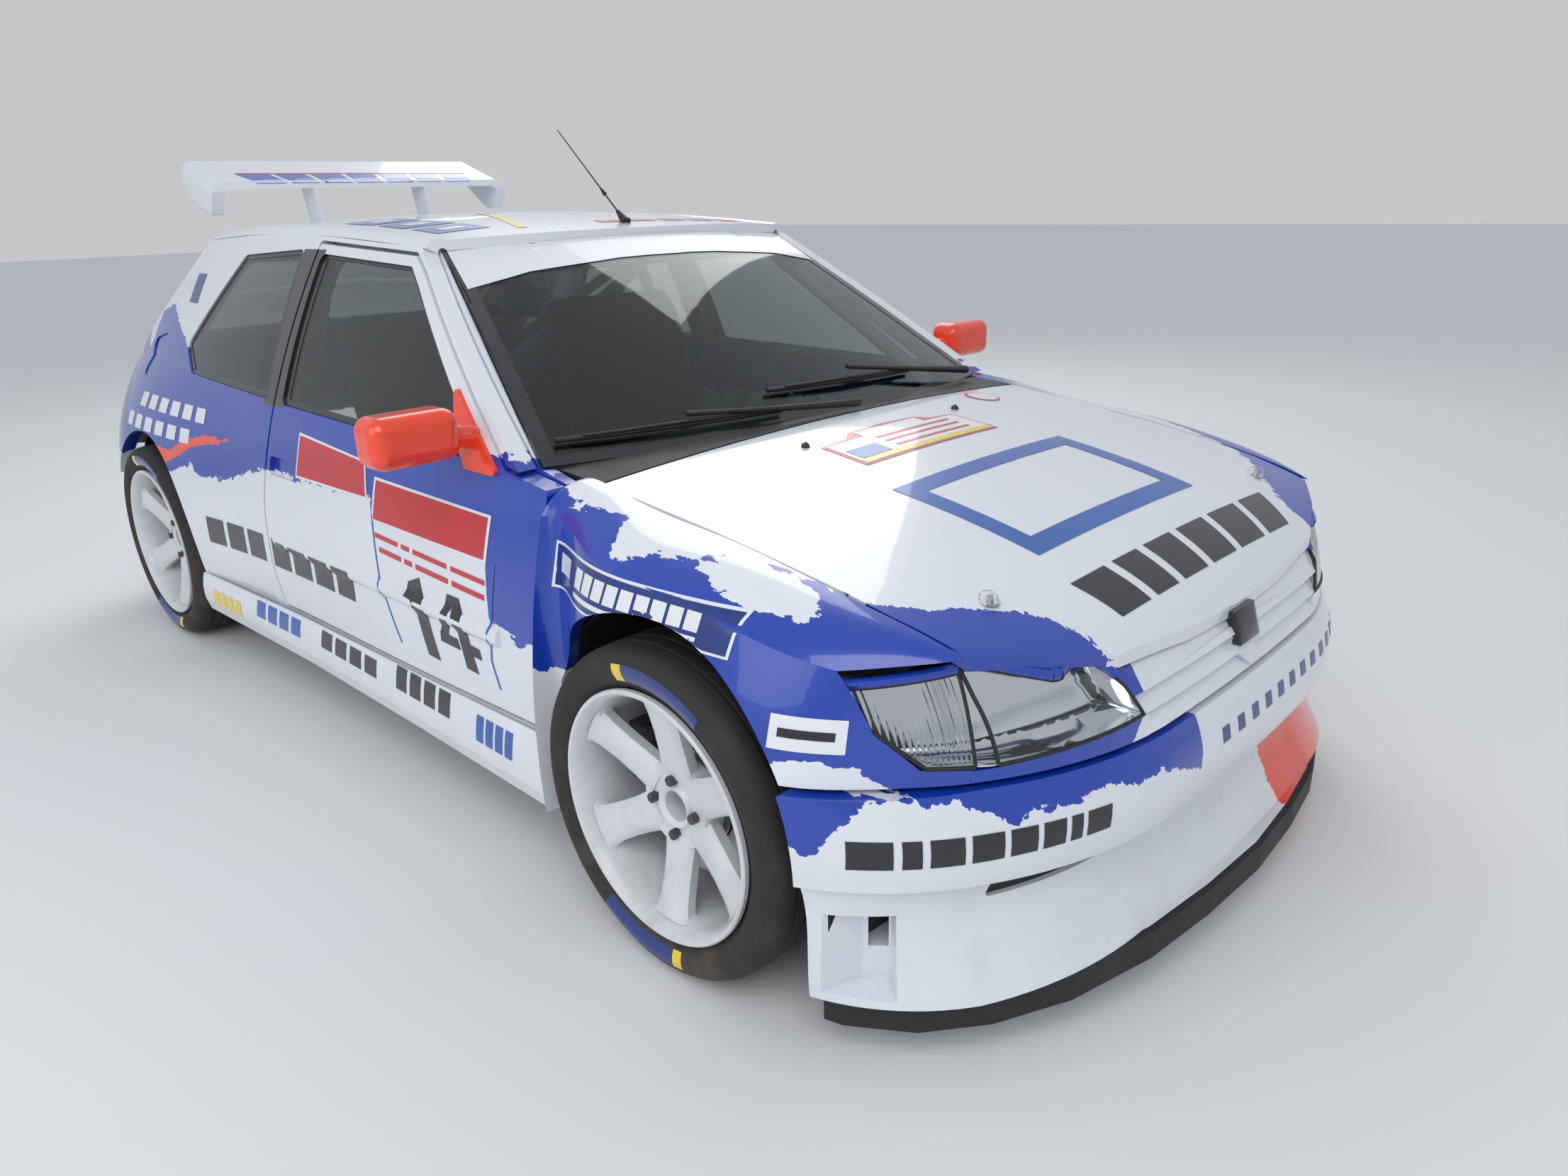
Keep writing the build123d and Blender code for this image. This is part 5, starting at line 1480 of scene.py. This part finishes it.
@dataclass
class Headlamp:
    """Clear lens over a bright reflector, with a ribbed indicator at the outer end."""

    side: str
    split_y: float = 0.678
    lens_thickness: float = 0.003

    def build(self, shop: Workshop) -> None:
        """Splits the CAD lamp into its lens and its housing."""
        node = f"headlamp_{self.side}"
        data = shop.nodes[node].data
        front, back = bmesh.new(), bmesh.new()
        for mesh, keep_front in ((front, True), (back, False)):
            mesh.from_mesh(data)
            bmesh.ops.remove_doubles(mesh, verts=mesh.verts, dist=1e-5)
            doomed = [f for f in mesh.faces if self._is_front(f) != keep_front]
            bmesh.ops.delete(mesh, geom=doomed, context="FACES")
        main, turn = front, front.copy()
        for mesh, sign in ((main, 1.0), (turn, -1.0)):
            normal = Vector((0.25, SIDES[self.side] * sign, 0.0)).normalized()
            geometry = [*mesh.verts, *mesh.edges, *mesh.faces]
            place = Vector((1.72, SIDES[self.side] * (self.split_y - 0.002 * sign), 0.6))
            bmesh.ops.bisect_plane(mesh, geom=geometry, plane_co=place, plane_no=normal, clear_outer=True)
        rims = []
        for name, mesh, finish in (("lens", main, LENS), ("indicator", turn, RIBBED_LENS)):
            rims.append(self._rim_path(mesh))
            bmesh.ops.solidify(mesh, geom=list(mesh.faces), thickness=self.lens_thickness)
            bmesh.ops.recalc_face_normals(mesh, faces=mesh.faces)
            shop.add(f"headlamp_{name}_{self.side}", mesh, finish, "chassis", "lamp_glass",
                     [node] if name == "lens" else ())
        frame = bmesh.new()
        for path in rims:
            for start, stop in path:
                tube(frame, [start, stop], 0.0035, 6)
        brow = bmesh.new()
        for start, stop in rims[0] + rims[1]:
            run = stop - start
            if min(start.z, stop.z) > 0.615 and abs(run.y) > 0.6 * abs(run.z):
                lift = Vector((-0.004, 0.0, 0.007))
                tube(brow, [start + lift, stop + lift], 0.009, 10)
        shop.add(f"headlamp_brow_{self.side}", tidy(brow, 1e-6), BLUE_PAINT, "chassis", "body_paint")
        tidy(frame, 1e-6)
        shop.add(f"headlamp_frame_{self.side}", frame, MATT_BLACK, "chassis", "dark_plastic")
        bmesh.ops.solidify(back, geom=list(back.faces), thickness=0.002)
        bmesh.ops.recalc_face_normals(back, faces=back.faces)
        shop.add(f"headlamp_housing_{self.side}", back, CHROME, "chassis", "dark_plastic")

    def _is_front(self, face: bmesh.types.BMFace) -> bool:
        """Whether a face belongs to the lamp's outer surface."""
        outward = Vector((0.8, SIDES[self.side] * 0.6, 0.1))
        return face.normal.dot(outward) > 0.55

    @staticmethod
    def _rim_path(mesh: bmesh.types.BMesh) -> list[tuple[Vector, Vector]]:
        """Boundary edges of an open sheet."""
        return [
            tuple(v.co.copy() for v in e.verts)
            for e in mesh.edges if e.is_boundary and e.calc_length() > 1e-4
        ]


@dataclass
class SmallParts:
    """Aerial, washer jets, bonnet pins, the grille's plain plate and the bumper slot's panel."""

    plate: Outline = ((-44, 628), (44, 628), (44, 566), (-44, 566))

    def build(self, shop: Workshop) -> None:
        """Builds every small fitting."""
        self._aerial(shop)
        self._bonnet_fittings(shop)
        self._grille_plate(shop)
        self._intake(shop)

    def _grille_plate(self, shop: Workshop) -> None:
        """Plain black rectangular plate in the middle of the grille."""
        skin = shop.skin("grille")
        low_z, high_z = 0.520, 0.589
        low_x, high_x = (
            skin.ray_cast(Vector((BEYOND, 0.0, z)), BACKWARDS)[0].x for z in (low_z + 0.004, high_z)
        )
        slope = (high_x - low_x) / (high_z - low_z)
        fronts = [
            Vector((low_x + 0.004 + slope * (z / 1000 - low_z), y / 1000, z / 1000)) for y, z in self.plate
        ]
        centre = sum(fronts, Vector()) / len(fronts)
        mesh = bmesh.new()
        rows = []
        for share, out in ((1.0, -0.012), (1.0, 0.003), (0.90, 0.005), (0.5, 0.0065), (0.1, 0.0068)):
            rows.append([centre.lerp(p, share) + Vector((out, 0.0, 0.0)) for p in fronts])
        grid_faces(mesh, rows, closed=True)
        shop.add("grille_plate", cap(tidy(mesh)), STICKER_BLACK, "chassis", "dark_plastic")

    def _intake(self, shop: Workshop) -> None:
        """Black mesh panel that closes the slot below the bumper's crease."""
        skin = shop.skin("front_bumper")
        fronts, backs = [], []
        for k in range(41):
            y = -0.672 + 1.344 * k / 40
            place, _, _, _ = skin.ray_cast(Vector((BEYOND, y, 0.290)), BACKWARDS)
            fronts.append(place.x - 0.010)
            backs.append(y)
        mesh = bmesh.new()
        rows = [
            [Vector((x - depth, y, z)) for x, y in zip(fronts, backs)]
            for depth, z in ((0.0, 0.297), (0.0, 0.335), (0.004, 0.335), (0.004, 0.297), (0.0, 0.297))
        ]
        grid_faces(mesh, rows)
        shop.add("intake_panel", cap(tidy(mesh)), MATT_BLACK, "chassis", "dark_plastic")

    def _on_top(self, shop: Workshop, node: str, x: float, y: float) -> Vector:
        """Point of a panel seen from above."""
        place, _, _, _ = shop.skin(node).ray_cast(Vector((x, y, BEYOND)), DOWNWARDS)
        return place

    def _aerial(self, shop: Workshop) -> None:
        """Thin aerial on a small foot near the roof's front."""
        foot = self._on_top(shop, "roof_panel", 0.118, 0.0)
        lean = Vector((-0.280, 0.0, 0.247))
        mesh = bmesh.new()
        tube(mesh, [foot, foot + lean * 0.03, foot + lean * 0.12], [0.016, 0.012, 0.005], 12)
        tube(mesh, [foot + lean * 0.10, foot + lean], [0.0024, 0.0014], 8)
        tube(mesh, [foot + lean * 0.30, foot + lean * 0.36], [0.006, 0.003], 8)
        shop.add("aerial", tidy(mesh, 1e-6), MATT_BLACK, "chassis", "dark_plastic")

    def _bonnet_fittings(self, shop: Workshop) -> None:
        """Two bonnet pins with wire rings, and two washer jets."""
        steel, plastic = bmesh.new(), bmesh.new()
        for sign in (1.0, -1.0):
            pin = self._on_top(shop, "bonnet", 1.677, sign * 0.537)
            if pin is not None:
                tube(steel, [pin + Vector((0, 0, 0.0002)), pin + Vector((0, 0, 0.003))], 0.017, 20)
                tube(steel, [pin, pin + Vector((0, 0, 0.016))], [0.006, 0.0055], 12)
                turns = (2 * math.pi * k / 16 for k in range(17))
                ring = ((0.018 * math.cos(a), 0.004 * math.sin(a), 0.012 * math.sin(a)) for a in turns)
                loop = [pin + Vector((x, y - 0.005, z + 0.010)) for x, y, z in ring]
                tube(steel, loop, 0.0012, 6)
            jet = self._on_top(shop, "bonnet", 1.027, sign * 0.272)
            if jet is not None:
                tube(plastic, [jet, jet + Vector((0, 0, 0.007)), jet + Vector((0.002, 0, 0.010))],
                     [0.010, 0.008, 0.003], 12)
        shop.add("bonnet_pins", tidy(steel, 1e-6), BRIGHT_STEEL, "bonnet", "steel")
        shop.add("washer_jets", tidy(plastic, 1e-6), MATT_BLACK, "bonnet", "dark_plastic")


@dataclass
class Seat:
    """Black bucket seat with red webbing."""

    side: str
    voxel: float = 0.014

    def build(self, shop: Workshop) -> None:
        """Softens the CAD seat and hangs the belts."""
        node = f"seat_{self.side}"
        source = shop.nodes[node]
        soft = source.copy()
        soft.data = source.data.copy()
        bpy.context.scene.collection.objects.link(soft)
        remesh = soft.modifiers.new("even mesh", "REMESH")
        remesh.mode = "VOXEL"
        remesh.voxel_size = self.voxel
        smooth = soft.modifiers.new("soft edges", "SMOOTH")
        smooth.iterations = 6
        shrink = soft.modifiers.new("seat inside", "DISPLACE")
        shrink.strength = -0.002
        shrink.mid_level = 0.0
        graph = bpy.context.evaluated_depsgraph_get()
        data = bpy.data.meshes.new_from_object(soft.evaluated_get(graph))
        bpy.data.objects.remove(soft)
        mesh = bmesh.new()
        mesh.from_mesh(data)
        bpy.data.meshes.remove(data)
        piece = shop.add(f"{node}_cover", mesh, SEAT_CLOTH, "chassis", "seat_shell", [node], crease=60.0)
        self._belts(shop)

    def _belts(self, shop: Workshop) -> None:
        """Four red straps: two over the shoulders and two over the lap."""
        middle = SIDES[self.side] * 0.35
        mesh = bmesh.new()
        for sign in (1.0, -1.0):
            shoulder = [
                (-0.47, 0.075, 0.93), (-0.40, 0.075, 0.925), (-0.335, 0.07, 0.86), (-0.285, 0.06, 0.70),
                (-0.235, 0.05, 0.52), (-0.17, 0.03, 0.42), (-0.08, 0.02, 0.402),
            ]
            lap = [(-0.12, 0.172, 0.44), (-0.10, 0.12, 0.418), (-0.085, 0.06, 0.407), (-0.08, 0.02, 0.405)]
            for path, across in ((shoulder, (0.0, 1.0, 0.0)), (lap, (0.8, 0.0, 0.1))):
                points = [Vector((x, middle + sign * y, z)) for x, y, z in path]
                self._strap(mesh, points, Vector(across).normalized())
        shop.add(f"belts_{self.side}", tidy(mesh, 1e-6), BELT_RED, "chassis", "seat_shell")

    @staticmethod
    def _strap(mesh: bmesh.types.BMesh, path: Sequence[Vector], across: Vector) -> None:
        """Flat closed strap along a path."""
        rows = []
        for k, point in enumerate(path):
            ahead = (path[min(k + 1, len(path) - 1)] - path[max(k - 1, 0)]).normalized()
            out = ahead.cross(across).normalized() * 0.0012
            half = across * 0.024
            rows.append([point - half - out, point + half - out, point + half + out, point - half + out])
        verts = grid_faces(mesh, rows, closed=True)
        mesh.faces.new(verts[0])
        mesh.faces.new(list(reversed(verts[-1])))


def write_sizes() -> None:
    """Updates the view layer."""
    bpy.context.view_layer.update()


def main() -> None:
    """Builds and dresses the car, one sub-assembly after the other."""
    logging.basicConfig(level=logging.INFO, format="%(message)s")
    bpy.ops.wm.read_factory_settings(use_empty=True)
    bpy.context.scene.view_settings.view_transform = "Standard"
    shop = Workshop()
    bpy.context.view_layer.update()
    Stage().build()
    for part in (BodyShell(), Glazing(), InnerParts()):
        part.dress(shop)
    for place, centre in (("front", 1.228), ("rear", -1.352)):
        for side in SIDES:
            Wheel(place, side, centre).build(shop)
    art = Graphics(shop)
    ScreenTrim().build(shop, art)
    for side in SIDES:
        Headlamp(side).build(shop)
        Seat(side).build(shop)
        DoorGraphics(side).build(art)
        WingGraphics(side).build(art)
        FlankGraphics(side).build(art)
    NoseGraphics().build(art)
    art.finish_up()
    SmallParts().build(shop)
    write_sizes()


if __name__ == "__main__":
    main()
